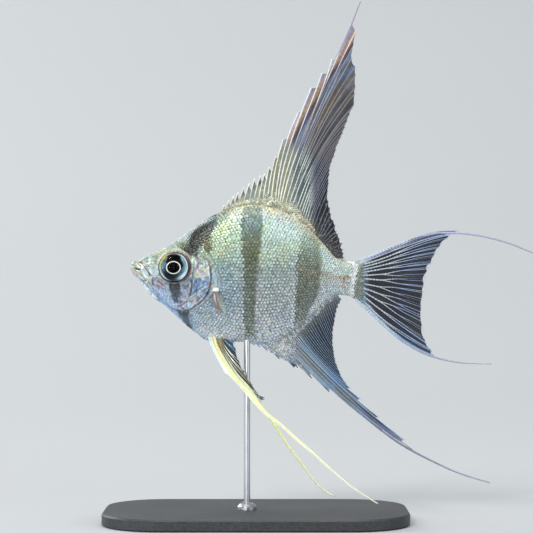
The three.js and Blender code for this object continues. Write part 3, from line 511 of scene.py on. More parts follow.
PORES = [m[1][0] for m in HEAD_MARKS if m[0] == "spot" and m[1][1][0] < 0.24]


def lay_marks(c, x, z, ys, table):
    grey = 0.72 + 0.5 * cloud(x * 1.1, ys, z * 1.1, 91)
    for kind, pts, rgb, strength, w in table:
        if kind == "spot":
            (cx, cz), (rx, rz) = pts
            reach = (cx - 2.6 * rx, cx + 2.6 * rx, cz - 2.6 * rz, cz + 2.6 * rz)
        else:
            p = np.array(pts)
            reach = (p[:, 0].min() - 3 * w, p[:, 0].max() + 3 * w, p[:, 1].min() - 3 * w, p[:, 1].max() + 3 * w)
        at = np.nonzero((x > reach[0]) & (x < reach[1]) & (z > reach[2]) & (z < reach[3]))[0]
        if not len(at):
            continue
        if kind == "spot":
            k = bump(np.hypot((x[at] - cx) / rx, (z[at] - cz) / rz), 1)
        elif kind == "line":
            d, s, _ = along(x[at], z[at], pts)
            k = bump(d, w) * (0.35 + 0.65 * step(0, 0.12, s)) * (1 - 0.65 * step(0.88, 1, s))
        else:
            k = patch(x[at], z[at], pts, w)
        k = np.clip(k * strength * grey[at], 0, 1)
        c[at] = mix(c[at], lin(*rgb), k)
    return c


def paint(x, y, z):
    """Ground colour and marks of the skin at a point, linear RGB."""
    xa, za = seen(x, y, z)
    lo, hi = belly(x), back(x)
    h = np.clip((z - lo) / np.maximum(hi - lo, 0.3), 0, 1)
    ys = np.sign(y) * 40.0
    c = flank(h, xa + 1.6 * (cloud(xa * 0.25, ys, za * 0.25, 3) - 0.5) * 2)
    c = c * (1 + 0.2 * (cloud(xa * 0.55, ys, za * 0.55, 21) - 0.5))[..., None]
    wob = 0.9 * (cloud(xa * 0.9, ys, za * 0.9, 31) - 0.5)

    # the two flank bars
    barred = 0
    for left, right, strength, tone, soft in (
        (BAR2_L, BAR2_R, [(44, 0.3), (46, 0.8), (50, 0.9), (66, 0.94), (72, 0.93), (76, 0.88), (78.4, 0.8), (79.5, 0.5)],
         [(44, (134, 142, 134)), (50, (116, 126, 118)), (56, (108, 119, 112)), (62, (100, 109, 94)), (67, (102, 108, 84)), (71, (108, 120, 108)), (74.5, (112, 134, 138)), (79, (118, 138, 142))], 0.26),
        (BAR3_L, BAR3_R, [(48, 0.15), (50, 0.78), (54, 0.88), (61, 0.86), (64, 0.82), (67, 0.74), (70, 0.62), (72.5, 0.25)],
         [(49, (120, 128, 122)), (56, (108, 117, 110)), (61, (112, 114, 98)), (66, (112, 124, 116)), (74, (124, 140, 136))], 0.3),
    ):
        l, r = left(-za) + wob * 0.5, right(-za) + wob * 0.5
        if left is BAR2_L:
            l = l - np.interp(za, [46, 50, 55, 60, 64, 68, 71, 76, 79], [0.42, 0.5, 0.78, 0.66, 0.6, 0.85, 0.5, 0.36, 0])
            r = r - np.interp(za, [46, 50, 56, 60, 64, 67, 72], [0.4, 0.45, 0.4, 0.62, 0.5, 0.1, 0])
        else:
            l, r = l - 0.3, r - np.interp(za, [48, 55, 60, 68, 72], [0.5, 0.6, 0.3, 0.5, 0.2])
        m = step(-soft, soft, xa - l) * step(-soft, soft, r - xa)
        k = np.interp(za, [s[0] for s in strength], [s[1] for s in strength])
        c = mix(c, ramp(za, tone) * np.array([0.9, 0.88, 0.8]) * (1 + 0.3 * (noise(xa * 2.2, ys, za * 2.2, 33) - 0.5))[..., None], m * k)
        barred = np.maximum(barred, m * k)

    # the bar from nape to eye
    m = patch(xa + wob * 0.4, za + 0.3 * wob, NAPE_BAR, 0.42)
    dots = noise(xa * 2.8, ys, za * 2.8, 35)
    c = mix(c, ramp(za, [(66, (10, 12, 15)), (68, (12, 15, 17)), (70, (17, 21, 21)), (72.5, (25, 30, 30)), (74, (40, 48, 53)), (76, (84, 102, 114))]) * (0.55 + 0.9 * dots)[..., None], m * 0.94)
    barred = np.maximum(barred, m)

    # gold and turquoise shimmer
    g = step(0.5, 0.72, cloud(xa * 0.45, ys + 5, za * 0.45, 41))
    c = mix(c, c * np.array([1.1, 1.03, 0.78]), g * step(0.45, 0.7, h) * 0.6)
    c = mix(c, lin(238, 224, 180), 0.7 * (1 - 0.5 * barred) * step(0.965, 0.985, h) * step(-8, -3, xa) * (1 - step(18, 21, xa)))
    c = mix(c, lin(210, 190, 150), 0.3 * bump(h - 0.93, 0.035) * step(9, 13, xa) * (1 - step(19, 21, xa)))
    c = mix(c, lin(150, 190, 236), 0.45 * (1 - step(0.0, 0.05, h)) * step(-30, -20, xa) * (1 - step(2, 6, xa)))
    c = mix(c, lin(196, 214, 240), 0.7 * step(0.955, 0.98, h) * step(15, 17, xa) * (1 - step(21.5, 23, xa)))
    c = mix(c, lin(226, 236, 244), 0.55 * (1 - step(0.02, 0.075, h)) * step(-12, -9, xa) * (1 - step(-1, 2, xa)))

    # side line, in its two parts
    for line, first in ((LATERAL_FRONT, True), (LATERAL_REAR, False)):
        d, s, _ = along(xa, za, line)
        ends = step(0, 0.08, s) * (1 - step(0.8 if first else 0.97, 1, s))
        beads = 0.55 + 0.45 * np.sin(s * (120 if first else 110))
        c = mix(c, lin(204, 180, 134) if first else lin(190, 172, 138), (0.62 if first else 0.5) * bump(d, 0.26) * ends * beads)
    d, s, _ = along(xa, za, [(14.4, 62.2), (16.4, 61.7), (19.1, 61.05), (22.8, 60.85)])
    k = bump(d, 0.52) * step(0, 0.2, s) * (1 - step(0.94, 1, s)) * step(0.2, 0.55, noise(xa * 1.9, ys, za * 1.9, 54))
    c = mix(c, lin(150, 122, 86), 0.5 * k)
    # rust flecks on the tail stem
    f = step(0.62, 0.74, noise(xa * 1.7, ys, za * 1.7, 51)) * bump(np.hypot((xa - 22.2) / 1.9, (za - 60.6) / 2.9), 1)
    c = mix(c, lin(150, 108, 70), 0.75 * f)
    # pale line, then a grey-olive band, where the tail fin begins
    end = xa - 24.35 - np.clip(0.17 * (za - 60.75), -0.7, 0.7)
    c = mix(c, lin(124, 128, 108) * (0.6 + 0.6 * noise(xa * 3.2, ys, za * 3.2, 53))[..., None], 0.8 * step(0.2, 0.6, end))
    c = mix(c, lin(244, 248, 250), 0.95 * bump(end + 0.1, 0.46) ** 0.7)

    # head
    wx = xa + 0.22 * (cloud(xa * 1.3, ys, za * 1.3, 95) - 0.5)
    wz = za + 0.22 * (cloud(xa * 1.3, ys + 9, za * 1.3, 97) - 0.5)
    c = lay_marks(c, wx, wz, ys, HEAD_MARKS)
    bare = 1 - step(-0.5, 0.3, scaled(xa, za))
    c = c * (1 + bare * (np.interp(xa, [-31, -26, -22, -18.5, -16, -11, -9.5], [0.95, 0.9, 0.95, 0.86, 0.66, 0.66, 0.76]) - 1))[..., None]
    # creases between the plates: painted shade along each crease, turning to the gill cover's gold along the lower part
    # of its edge, and a painted highlight on its lip
    for line, crease_shade, wide in ((PREOPERCLE, 0.3, 0.1), (OPERCLE, 0.62, 0.11), (SUBOPERCLE, 0.7, 0.11), (INTEROPERCLE, 0.5, 0.11), (JAW_LINE, 0.3, 0.1), (MAXILLA, 0.7, 0.11), (LACHRYMAL, 0.5, 0.14)):
        d, s, side = along(wx, wz, line)
        k = step(0, 0.1, s) * (1 - 0.6 * step(0.9, 1, s)) * (0.5 + 0.9 * noise(xa * 1.6, ys, za * 1.6, 99))
        dark = mix(lin(26, 28, 40) * np.ones(np.shape(s) + (3,)), lin(128, 96, 52), (0.85 if line is OPERCLE else 0) * step(0.55, 0.68, s))
        c = mix(c, dark, np.clip(crease_shade * k * bump(d, wide), 0, 0.95))
        # painted highlight on the lip of each crease
        c = mix(c, lin(214, 226, 232), np.clip(0.34 * k * bump(d - 0.34, 0.14) * (side < 0), 0, 1))
    # painted shade in the gap of the mouth
    c = mix(c, lin(58, 40, 42), 0.92 * (1 - step(0.03, 0.34, along(xa, za, SLIT)[0])) * (1 - step(-29.3, -28.9, xa)))
    # round the eye: gold in front and above, red-brown behind
    ex, ez = x - EYE_X, z - EYE_Z
    r, ang = np.hypot(ex, ez), np.degrees(np.arctan2(ez, ex))
    behind = bump(ang - 2, 76) ** 0.8
    # small shades and lights of the head
    for x0, z0, wide, tone, k in ((-30.0, 64.75, 0.55, (134, 134, 120), 0.5), (-26.5, 65.75, 0.8, (96, 178, 184), 0.24), (-21.5, 69.0, 1.6, (116, 134, 122), 0.22),
                                  (-16.2, 50.1, 1.2, (196, 218, 232), 0.3), (-3.25, 59.0, 2.2, (90, 108, 112), 0.2), (-14.9, 64.75, 0.6, (130, 178, 206), 0.25)):
        c = mix(c, lin(*tone), k * bump(np.hypot(xa - x0, za - z0), wide))
    c = mix(c, lin(222, 222, 204), 0.6 * bump(r - EYE_R - 0.85, 0.24) * behind)
    c = mix(c, lin(60, 24, 2), bump(r - EYE_R - 0.42, 0.36) ** 0.5 * behind)
    c = mix(c, lin(4, 2, 2), bump(r - EYE_R - 0.1, 0.3) ** 0.5 * behind)
    c = mix(c, lin(150, 108, 52), 0.7 * bump(r - EYE_R - 0.1, 0.2) * bump(ang + 125, 30))
    c = mix(c, lin(206, 190, 110), 0.7 * bump(r - EYE_R - 0.12, 0.22) * bump(ang - 140, 60))
    c = mix(c, lin(208, 226, 220), 0.5 * bump(r - EYE_R - 0.5, 0.3) * bump(ang - 150, 70))
    # painted shade: the skin in the eye socket, behind the globe, nearly black
    c = mix(c, lin(26, 26, 30), 0.95 * (1 - step(EYE_R - 0.35, EYE_R, r)))
    k = patch(xa + 0.5 * (noise(xa * 1.6, ys, za * 1.6, 120) - 0.5), za, [(-21.95, 60.8), (-19.0, 60.8), (-18.9, 59.2), (-18.72, 57.5), (-18.75, 56.4), (-18.95, 55.3), (-19.3, 54.6), (-20.5, 54.6), (-20.95, 55.6), (-21.15, 56.6), (-21.75, 57.5), (-22.0, 58.8)], 0.3)
    mottle = 0.4 + 1.2 * (0.5 * noise(xa * 2.0, ys, za * 2.0, 121) + 0.5 * noise(xa * 3.8, ys, za * 3.8, 126))
    shade = ramp(za, [(54.7, (80, 86, 110)), (55.5, (66, 80, 98)), (56.5, (54, 68, 82)), (57.5, (42, 52, 62)), (58.5, (5, 6, 9)), (60.6, (3, 4, 6))])
    c = mix(c, shade * mottle[..., None], 0.93 * k * step(0.08, 0.3, r - EYE_R))
    k = step(0.955, 0.985, h) * (1 - step(-13, -9, xa)) * step(-30.2, -29.4, xa)
    c = mix(c, lin(186, 198, 194) * (0.75 + 0.4 * noise(xa * 1.4, ys, za * 1.4, 122))[..., None], 0.75 * k)
    # fine freckles on naked skin
    naked = 1 - step(-0.3, 0.5, scaled(xa, za))
    f = 0.55 * noise(xa * 4.2, ys, za * 4.2, 81) + 0.45 * noise(xa * 2.1, ys, za * 2.1, 82)
    c = c * (1 + naked * 1.25 * (f - 0.48))[..., None]
    plates = step(-21, -17.5, xa) * naked * (1 - step(64.5, 66, za))
    f = noise((xa + za) * 0.8, ys, (za - xa) * 2.6, 86)
    c = c * (1 + plates * 0.8 * (f - 0.5))[..., None]
    f = step(0.76, 0.88, noise(xa * 4.4, ys, za * 4.4, 83)) * naked
    c = mix(c, c * 0.5 + 0.42, 0.7 * f * (0.2 + 0.8 * step(0.03, 0.12, c.mean(-1))))
    f = step(0.78, 0.9, noise(xa * 3.6, ys, za * 3.6, 84)) * naked * (1 - step(0.93, 0.97, h)) * step(-29.5, -28.5, xa)
    c = mix(c, c * 0.25, 0.75 * f)
    return np.clip(c, 0.004, 0.95)


# --------------------------------------------------------------------- materials
def material(name, rough=0.4, metal=0.0, coat=0.0, spec=0.5, alpha=False, bumps=(), tint=None, grain=0.0, grain_scale=3000, colour=None, coat_rough=0.1):
    """Principled from the piece's own paint, with procedural grain, roughness and bump."""
    m = bpy.data.materials.new(name)
    m.use_nodes = True
    nt = m.node_tree
    p = nt.nodes["Principled BSDF"]
    where = nt.nodes.new("ShaderNodeTexCoord")
    at = nt.nodes.new("ShaderNodeAttribute")
    at.attribute_name = "paint"
    source = at.outputs["Color"]
    if colour is not None:
        rgb = nt.nodes.new("ShaderNodeRGB")
        rgb.outputs[0].default_value = (*colour, 1)
        source = rgb.outputs[0]
    n = nt.nodes.new("ShaderNodeTexNoise")
    n.inputs["Scale"].default_value = grain_scale
    n.inputs["Detail"].default_value = 3
    nt.links.new(where.outputs["Object"], n.inputs["Vector"])
    if grain:
        ramp_ = nt.nodes.new("ShaderNodeMapRange")
        ramp_.inputs["From Min"].default_value = 0.3
        ramp_.inputs["From Max"].default_value = 0.7
        ramp_.inputs["To Min"].default_value = 1 - grain
        ramp_.inputs["To Max"].default_value = 1 + grain
        nt.links.new(n.outputs["Fac"], ramp_.inputs["Value"])
        mul = nt.nodes.new("ShaderNodeVectorMath")
        mul.operation = "SCALE"
        nt.links.new(source, mul.inputs[0])
        nt.links.new(ramp_.outputs[0], mul.inputs["Scale"])
        source = mul.outputs[0]
    nt.links.new(source, p.inputs["Base Color"])
    rr = nt.nodes.new("ShaderNodeMapRange")
    rr.inputs["To Min"].default_value = max(0.02, rough - 0.1)
    rr.inputs["To Max"].default_value = min(1, rough + 0.1)
    nt.links.new(n.outputs["Fac"], rr.inputs["Value"])
    nt.links.new(rr.outputs[0], p.inputs["Roughness"])
    p.inputs["Metallic"].default_value = metal
    p.inputs["Coat Weight"].default_value = coat
    p.inputs["Coat Roughness"].default_value = coat_rough
    p.inputs["Specular IOR Level"].default_value = spec
    if alpha:
        al = nt.nodes.new("ShaderNodeAttribute")
        al.attribute_name = "cover"
        nt.links.new(al.outputs["Fac"], p.inputs["Alpha"])
    last = None
    for kind, scale, height in bumps:
        if kind == "noise":
            tex = nt.nodes.new("ShaderNodeTexNoise")
            tex.inputs["Detail"].default_value = 4
        else:
            tex = nt.nodes.new("ShaderNodeTexVoronoi")
        tex.inputs["Scale"].default_value = scale
        nt.links.new(where.outputs["Object"], tex.inputs["Vector"])
        b = nt.nodes.new("ShaderNodeBump")
        b.inputs["Distance"].default_value = height
        b.inputs["Strength"].default_value = 1.0
        nt.links.new(tex.outputs[0], b.inputs["Height"])
        if last:
            nt.links.new(last.outputs[0], b.inputs["Normal"])
        last = b
    if last:
        nt.links.new(last.outputs[0], p.inputs["Normal"])
    return m


SKIN = material("fish_skin", rough=0.36, metal=0.3, coat=0.35, grain=0.16, grain_scale=2600, bumps=[("noise", 1500, 0.00012), ("voronoi", 2400, 0.00006)])
SCALE = material("fish_scale", rough=0.35, metal=0.42, coat=0.25, grain=0.3, grain_scale=3600, bumps=[("noise", 3800, 0.00003)])
WEB = material("fin_web", rough=0.45, coat=0.05, spec=0.25, alpha=True, grain=0.22, grain_scale=1400, bumps=[("noise", 1600, 0.00006)])
RAY = material("fin_ray", rough=0.38, metal=0.05, coat=0.3, grain=0.15, grain_scale=2000, bumps=[("noise", 2500, 0.00004)])
RIBBON = material("belly_ribbon", rough=0.34, coat=0.4, grain=0.08, grain_scale=1200, bumps=[("noise", 1800, 0.00004)])


# -------------------------------------------------------------------------- skin
def scaled(xa, za):
    """How far a place is inside the scaled part of the skin, mm."""
    d, _, side = along(xa, za, NAKED_EDGE)
    return np.where(side > 0, d, -d)


def build_skin():
    x = np.concatenate([np.linspace(-31.4, -9.2, 176), np.linspace(-9.0, TAIL_X - 0.1, 86)])
    rows, cols = len(x), 190
    a = np.linspace(-np.pi / 2, np.pi / 2, cols)
    X, A = np.meshgrid(x, a, indexing="ij")
    bag = Bag()
    left, right = skin_point(X, A, -1.0), skin_point(X, A, 1.0)
    # one closed ring per station: up the left side, down the right
    ring = np.concatenate([left, right[:, -2:0:-1]], 1)
    n = ring.shape[1]
    faces = grid_faces(rows, n, wrap=True)[:, ::-1]
    v = ring.reshape(-1, 3)
    RX = np.broadcast_to(x[:, None], (rows, n))
    RA = np.concatenate([A, A[:, -2:0:-1]], 1)
    isr = np.concatenate([np.zeros((rows, cols), bool), np.ones((rows, cols - 2), bool)], 1)
    uv = unwrap(RX, arc_at(RX, RA), isr).reshape(-1, 2)
    colour = paint(v[:, 0], v[:, 1], v[:, 2])
    hs = (v[:, 2] - belly(v[:, 0])) / (back(v[:, 0]) - belly(v[:, 0]))
    # painted shade: the skin is darkened where the scales lie over it, so the gaps between scales read dark, except at
    # the back's ridge and the belly's edge
    colour *= (1 - 0.42 * step(-0.3, 0.6, scaled(*seen(v[:, 0], v[:, 1], v[:, 2]))) * (1 - step(0.93, 0.97, hs)) * step(0.02, 0.06, hs))[:, None]
    ends, tris = [], []
    for i, flip in ((0, False), (rows - 1, True)):
        ends.append(ring[i].mean(0))
        k = np.arange(n)
        m = rows * n + len(ends) - 1
        A_, B_ = i * n + k, i * n + (k + 1) % n
        tri = np.stack([A_, B_, np.full(n, m)], -1)
        tris.append(tri if not flip else tri[:, ::-1])
    v = np.concatenate([v, ends])
    colour = np.concatenate([colour, colour[[0, -1]]])
    uv = np.concatenate([uv, uv[[0, -1]]])
    bag.add(v, faces, np.concatenate(tris), colour, uv=uv)
    return bag.build("skin", SKIN, ["head", "jaw_lower", "gill_cover_left", "gill_cover_right", "trunk", "tail_stem"])


build_skin()


# ------------------------------------------------------------------------ scales
def scale_template(nv=4):
    """One scale: rounded free edge, root at a=0.  Returns local points and faces."""
    top = []
    rows = ((0.0, 0.6), (0.40, 0.98), (0.56, 1.0), (0.76, 0.94), (1.0, 0.6))
    for i, (along_, widen) in enumerate(rows):
        for j in range(nv + 1):
            b = -1 + 2 * j / nv
            a = along_ - 0.16 * b * b * (0, 0.0, 0.35, 0.8, 1)[i]
            top.append((a, b * 0.5 * widen, (1 - b * b) * 0.5))
    top = np.array(top)
    nu, cols = len(rows) - 1, nv + 1
    q = grid_faces(nu + 1, cols)
    edge = ([j for j in range(cols)] + [i * cols + nv for i in range(1, nu + 1)]
            + [nu * cols + j for j in range(nv - 1, -1, -1)] + [i * cols for i in range(nu - 1, 0, -1)])
    n = len(top)
    low = top[edge].copy()
    low[:, 2] = -1.0
    m = len(edge)
    sides = np.array([(edge[k], n + k, n + (k + 1) % m, edge[(k + 1) % m]) for k in range(m)])
    under = np.array([(n, n + k + 1, n + k) for k in range(1, m - 1)])
    return np.concatenate([top, low]), np.concatenate([np.zeros(n), np.ones(m)]), q, sides, under, n


TPL, TPL_KIND, TPL_Q, TPL_SIDE, TPL_UNDER, TPL_TOP = scale_template()


def lay_scales(bag, P, N, F, length, width, lift, colours, uv0, thick=0.05, contrast=1.0, pale=0.0):
    """Scales at points P with outward normals N, lying along F; pale=1 has dark notches on a light ground."""
    n = len(P)
    F = F - (F * N).sum(1)[:, None] * N
    F /= np.linalg.norm(F, axis=1)[:, None]
    S = np.cross(N, F)
    a, b, hgt = TPL[:, 0], TPL[:, 1], TPL[:, 2]
    L, W = np.broadcast_to(length, (n,)), np.broadcast_to(width, (n,))
    rise = np.broadcast_to(lift, (n,))[:, None] * (a[None, :] ** 1.2)
    up = rise + 0.045 * np.where(TPL_KIND == 0, hgt, 0)[None, :] - np.where(TPL_KIND == 1, thick, 0)[None, :]
    V = (P[:, None, :] + F[:, None, :] * ((a[None, :] - 0.35) * L[:, None])[..., None]
         + S[:, None, :] * (b[None, :] * W[:, None])[..., None] + N[:, None, :] * up[..., None])
    m = len(TPL)
    base = (np.arange(n) * m)[:, None, None]
    quads = np.concatenate([(TPL_Q[None] + base).reshape(-1, 4), (TPL_SIDE[None] + base).reshape(-1, 4)])
    tris = (TPL_UNDER[None] + base).reshape(-1, 3)
    # a dark notch where each scale comes out from under the last (a pigment dot, with painted shade under the last
    # scale's edge), a bright crown that is a painted glint, a duller rim
    k = np.arange(n) * 1.0
    vary = lambda seed: noise(k * 1.37, seed * 1.0, 0.0, seed)[:, None] - 0.5
    a, b = a[None] + 0.12 * vary(11), b[None] + 0.16 * vary(12)
    notch = np.exp(-((a - 0.42) / 0.14) ** 2 - (b / 0.3) ** 2) * (1 + 0.7 * vary(13))
    painted_glint = np.exp(-((a - 0.74) / 0.2) ** 2 - (b / 0.2) ** 2) * (1 + 0.7 * vary(14))
    rim = np.clip((np.abs(b) - 0.2) / 0.3, 0, 1)
    on_dark = 0.8 + 0.95 * painted_glint - 0.5 * notch - 0.12 * rim
    on_pale = 1.08 + 0.5 * painted_glint - 1.0 * notch - 0.12 * rim
    # the sides and underside of each scale painted darker: painted shade under the scale
    on_dark, on_pale = (np.where(TPL_KIND[None] == 1, v, w) for v, w in ((0.4, on_dark), (0.72, on_pale)))
    pale = np.broadcast_to(pale, (n,))[:, None]
    crown = on_dark * (1 - pale) + on_pale * pale
    crown = 1 + contrast * (crown - 1)
    crown = crown * (1 + np.random.default_rng(n).uniform(-0.42, 0.42, crown.shape) * (TPL_KIND[None] == 0))
    C = colours[:, None, :] * crown[..., None]
    uv = uv0[:, None, :] + 0.003 * np.stack([TPL[:, 0] - 0.5, TPL[:, 1]], -1)[None]
    bag.add(V.reshape(-1, 3), quads, tris, np.clip(C.reshape(-1, 3), 0.003, 0.98), uv=uv.reshape(-1, 2))
    return quads.shape[0] * 2 + tris.shape[0]


def jitter(n, spread, gen):
    """Random brightness and tint, one per scale."""
    lum = np.exp(gen.normal(0, spread, n))
    tints = np.array([[1, 1, 1], [0.86, 1.05, 1.06], [1.16, 1.05, 0.78], [1.06, 0.95, 1.08], [0.92, 1.0, 1.1], [1.08, 1.06, 0.94]])
    pick = gen.choice(len(tints), n, p=[0.3, 0.2, 0.14, 0.12, 0.14, 0.1])
    return lum[:, None] * (1 + (tints[pick] - 1) * gen.uniform(0.15, 0.75, n)[:, None])


SCALE_SIZE = through([[-24, 0.66], [-15, 0.70], [-10, 0.86], [-5, 0.98], [1, 1.0], [7, 0.93], [13, 0.80], [20, 0.68], [28, 0.62]])


def scaled_places(side):
    gen = np.random.default_rng(5 if side < 0 else 6)
    DX, DZ = 0.405, 1.68
    xs, arcs = [], []
    x, i = -23.0, 0
    while x < TAIL_X + 0.2:
        g = float(SCALE_SIZE(x))
        s = (np.arange(-28, 29) + (0.5 if i % 2 else 0)) * DZ * g
        xs.append(np.full(len(s), x))
        arcs.append(s)
        x += DX * g
        i += 1
    x, s = np.concatenate(xs), np.concatenate(arcs)
    x = x + gen.normal(0, 0.07, len(x))
    s = s + gen.normal(0, 0.06, len(s))
    keep = (x > -31) & (x < TAIL_X - 0.15)
    x, s = x[keep], s[keep]
    i = np.clip((x - STATIONS[0]) / (STATIONS[1] - STATIONS[0]), 0, len(STATIONS) - 1.001)
    k, f = i.astype(int), (i - i.astype(int))
    a = np.empty(len(x))
    ok = np.ones(len(x), bool)
    for n in range(len(x)):
        arc = ARCS[k[n]] * (1 - f[n]) + ARCS[k[n] + 1] * f[n]
        ok[n] = arc[0] + 0.05 < s[n] < arc[-1] - 0.05
        a[n] = np.interp(s[n], arc, ANGLES)
    return x[ok], s[ok], a[ok], gen


def build_scales(side, name):
    x, s, a, gen = scaled_places(side)
    e = 0.05
    P = skin_point(x, a, side)
    xa, za = seen(P[:, 0], P[:, 1], P[:, 2])
    # naked: snout, jaws, cheek, gill cover and the eye
    keep = (scaled(xa, za) > 0.1) & (np.hypot(P[:, 0] - EYE_X, P[:, 2] - EYE_Z) > EYE_R + 0.95)
    keep &= np.hypot((xa + 9.9) / 0.8, (za - 56.2) / 2.6) > 1
    x, s, a, P, xa, za = x[keep], s[keep], a[keep], P[keep], xa[keep], za[keep]
    Px, Pa = skin_point(x + e, a, side), skin_point(x, np.clip(a + 0.01, None, np.pi / 2), side)
    Pa0 = skin_point(x, np.clip(a - 0.01, -np.pi / 2, None), side)
    Px0 = skin_point(x - e, a, side)
    F = Px - Px0
    F /= np.linalg.norm(F, axis=1)[:, None]
    T = Pa - Pa0
    N = np.cross(F, T) * side * -1
    N /= np.maximum(np.linalg.norm(N, axis=1)[:, None], 1e-9)
    flip = np.sign(N[:, 1]) != side
    N[flip & (np.abs(P[:, 1]) > 0.3)] *= -1
    n = len(x)
    tilt = gen.normal(0, 0.03, (n, 2))
    N2 = N + F * tilt[:, :1] + np.cross(N, F) * tilt[:, 1:]
    N2 /= np.linalg.norm(N2, axis=1)[:, None]
    colours = paint(P[:, 0], P[:, 1], P[:, 2]) * jitter(n, 0.09, gen)
    lo, hi = belly(P[:, 0]), back(P[:, 0])
    h = (P[:, 2] - lo) / (hi - lo)
    pale = np.clip(step(0.62, 0.82, h) + 0.6 * step(14, 20, xa) - 0.6 * step(0.3, 0.1, colours.mean(1)), 0, 1)
    size = SCALE_SIZE(P[:, 0]) * (1 - 0.12 * (1 - step(-20, -12, xa)))
    bag = Bag()
    size = size * gen.uniform(0.97, 1.05, n)
    lift = 0.075 * (1 - 0.7 * step(0.9, 0.985, h) - 0.5 * (1 - step(0.02, 0.06, h)))
    tris = lay_scales(bag, P, N2, F, 1.3 * size, 1.03 * size, lift, colours, unwrap(x, s, np.full(n, side > 0)), pale=pale)
    print(name, n, "scales", tris, "triangles")
    return bag.build(name, SCALE)


build_scales(-1.0, "scales_left")
build_scales(1.0, "scales_right")


# -------------------------------------------------------------------------- fins
def ray_field(table, base):
    cols = [through([(r[0], r[c]) for r in table]) for c in (1, 2, 3, 4)]

    def at(b, t):
        b, t = np.broadcast_arrays(np.asarray(b, float), np.asarray(t, float))
        bx, bz = base(b)
        tx, tz, b1, b2 = (f(b) for f in cols)
        dx, dz = tx - bx, tz - bz
        l = np.maximum(np.hypot(dx, dz), 1e-6)
        s = 1 - t
        w = 3 * s * t * (s * b1 + t * b2)
        return bx + dx * t - dz / l * w, bz + dz * t + dx / l * w, l
    return at


DORSAL = [
    [-8.7, -8.00, 78.92, 0, 0], [-7.7, -6.75, 80.12, 0.05, 0.05], [-6.75, -5.62, 81.20, 0.1, 0.1], [-5.75, -4.50, 82.08, 0.15, 0.12], [-4.6, -3.08, 83.38, 0.2, 0.15],
    [-3.4, -1.67, 84.38, 0.2, 0.15], [-1.9, -0.38, 85.50, 0.2, 0.15], [-0.8, 1.08, 86.30, 0.25, 0.2], [0.35, 2.08, 86.75, 0.25, 0.2], [1.6, 3.33, 88.42, 0.3, 0.3],
    [2.75, 4.85, 90.88, 0.5, 0.55], [3.75, 6.75, 95.25, 0.84, 0.86], [4.6, 10.50, 102.00, 1.3, 1.85], [5.2, 13.75, 108.25, 2.2, 1.25], [5.7, 16.50, 112.00, 2.4, 0.4],
    [6.2, 19.00, 115.50, 2.5, -0.7], [6.5, 24.00, 124.62, 2.4, 0.8], [6.8, 25.00, 122.67, 2.4, 1.3], [7.1, 24.35, 118.88, 2.3, 1.6], [7.3, 23.95, 115.75, 2.2, 2],
    [7.5, 24.85, 113.75, 2.1, 2.6], [7.8, 24.92, 111.50, 2.1, 3], [8.1, 24.88, 108.50, 2.5, 2.7], [8.4, 24.72, 106.92, 2.9, 2.3], [8.8, 24.38, 103.88, 2.2, 2.6],
    [9.2, 23.95, 103.08, 1.6, 3], [9.8, 22.75, 99.88, 1, 3.4], [10.6, 21.65, 96.97, 1.2, 2.4], [11.2, 20.65, 94.67, 1.43, 1.53], [11.75, 19.40, 91.12, 1.2, 1.2],
    [12.3, 18.58, 88.83, 1, 0.9], [12.8, 18.28, 86.50, 0.7, 0.6], [13.4, 18.15, 84.38, 0.4, 0.4], [14, 17.92, 82.40, 0.2, 0.2], [14.7, 18.10, 79.90, 0.1, 0.1],
    [15.25, 18.50, 78.20, 0, 0], [15.6, 18.75, 76.70, 0, 0], [15.87, 19.30, 75.20, 0, 0], [16.15, 19.80, 73.85, 0, 0], [16.54, 20.10, 72.50, 0, 0],
    [16.96, 20.50, 71.80, 0, 0], [17.4, 20.90, 70.55, 0, 0], [17.98, 21.60, 69.40, 0, 0], [18.7, 21.70, 67.90, 0, 0], [19.15, 21.95, 66.80, 0, 0], [19.53, 22.20, 65.75, 0, 0]]
ANAL = [
    [-3.2, -0.40, 44.00, 0, 0], [-1.5, 1.00, 43.50, 0, 0], [0.2, 2.75, 42.62, 0, 0], [1.3, 5.75, 40.62, 0, 0], [2.9, 9.50, 38.50, 0, 0],
    [4, 10.38, 38.42, 0, 0], [4.8, 13.88, 35.75, -0.1, -0.1], [5.6, 18.25, 32.38, -0.3, -0.3], [6.2, 28.38, 24.75, -1.2, -1.2], [6.7, 34.25, 21.00, -1.3, -1.8],
    [7.15, 39.00, 17.88, -1.3, -1.7], [7.7, 37.12, 20.25, -1.3, -1.5], [8.2, 30.62, 26.00, -1.4, -1.3], [8.7, 26.12, 30.50, -1.4, -1.2], [9.3, 23.50, 33.25, -1.4, -1.15],
    [10.1, 21.62, 35.62, -1.2, -0.8], [11, 20.88, 37.38, -1, -0.6], [12, 20.20, 39.00, -0.7, -0.5], [13, 19.80, 40.50, -0.5, -0.3], [14.3, 19.50, 42.25, -0.2, -0.1],
    [15.2, 19.25, 44.25, -0.1, 0], [16, 19.25, 46.25, 0, 0], [17, 19.50, 48.75, 0, 0], [18, 19.90, 51.00, 0, 0], [18.8, 20.50, 53.25, 0, 0],
    [19.5, 21.38, 55.38, 0, 0]]
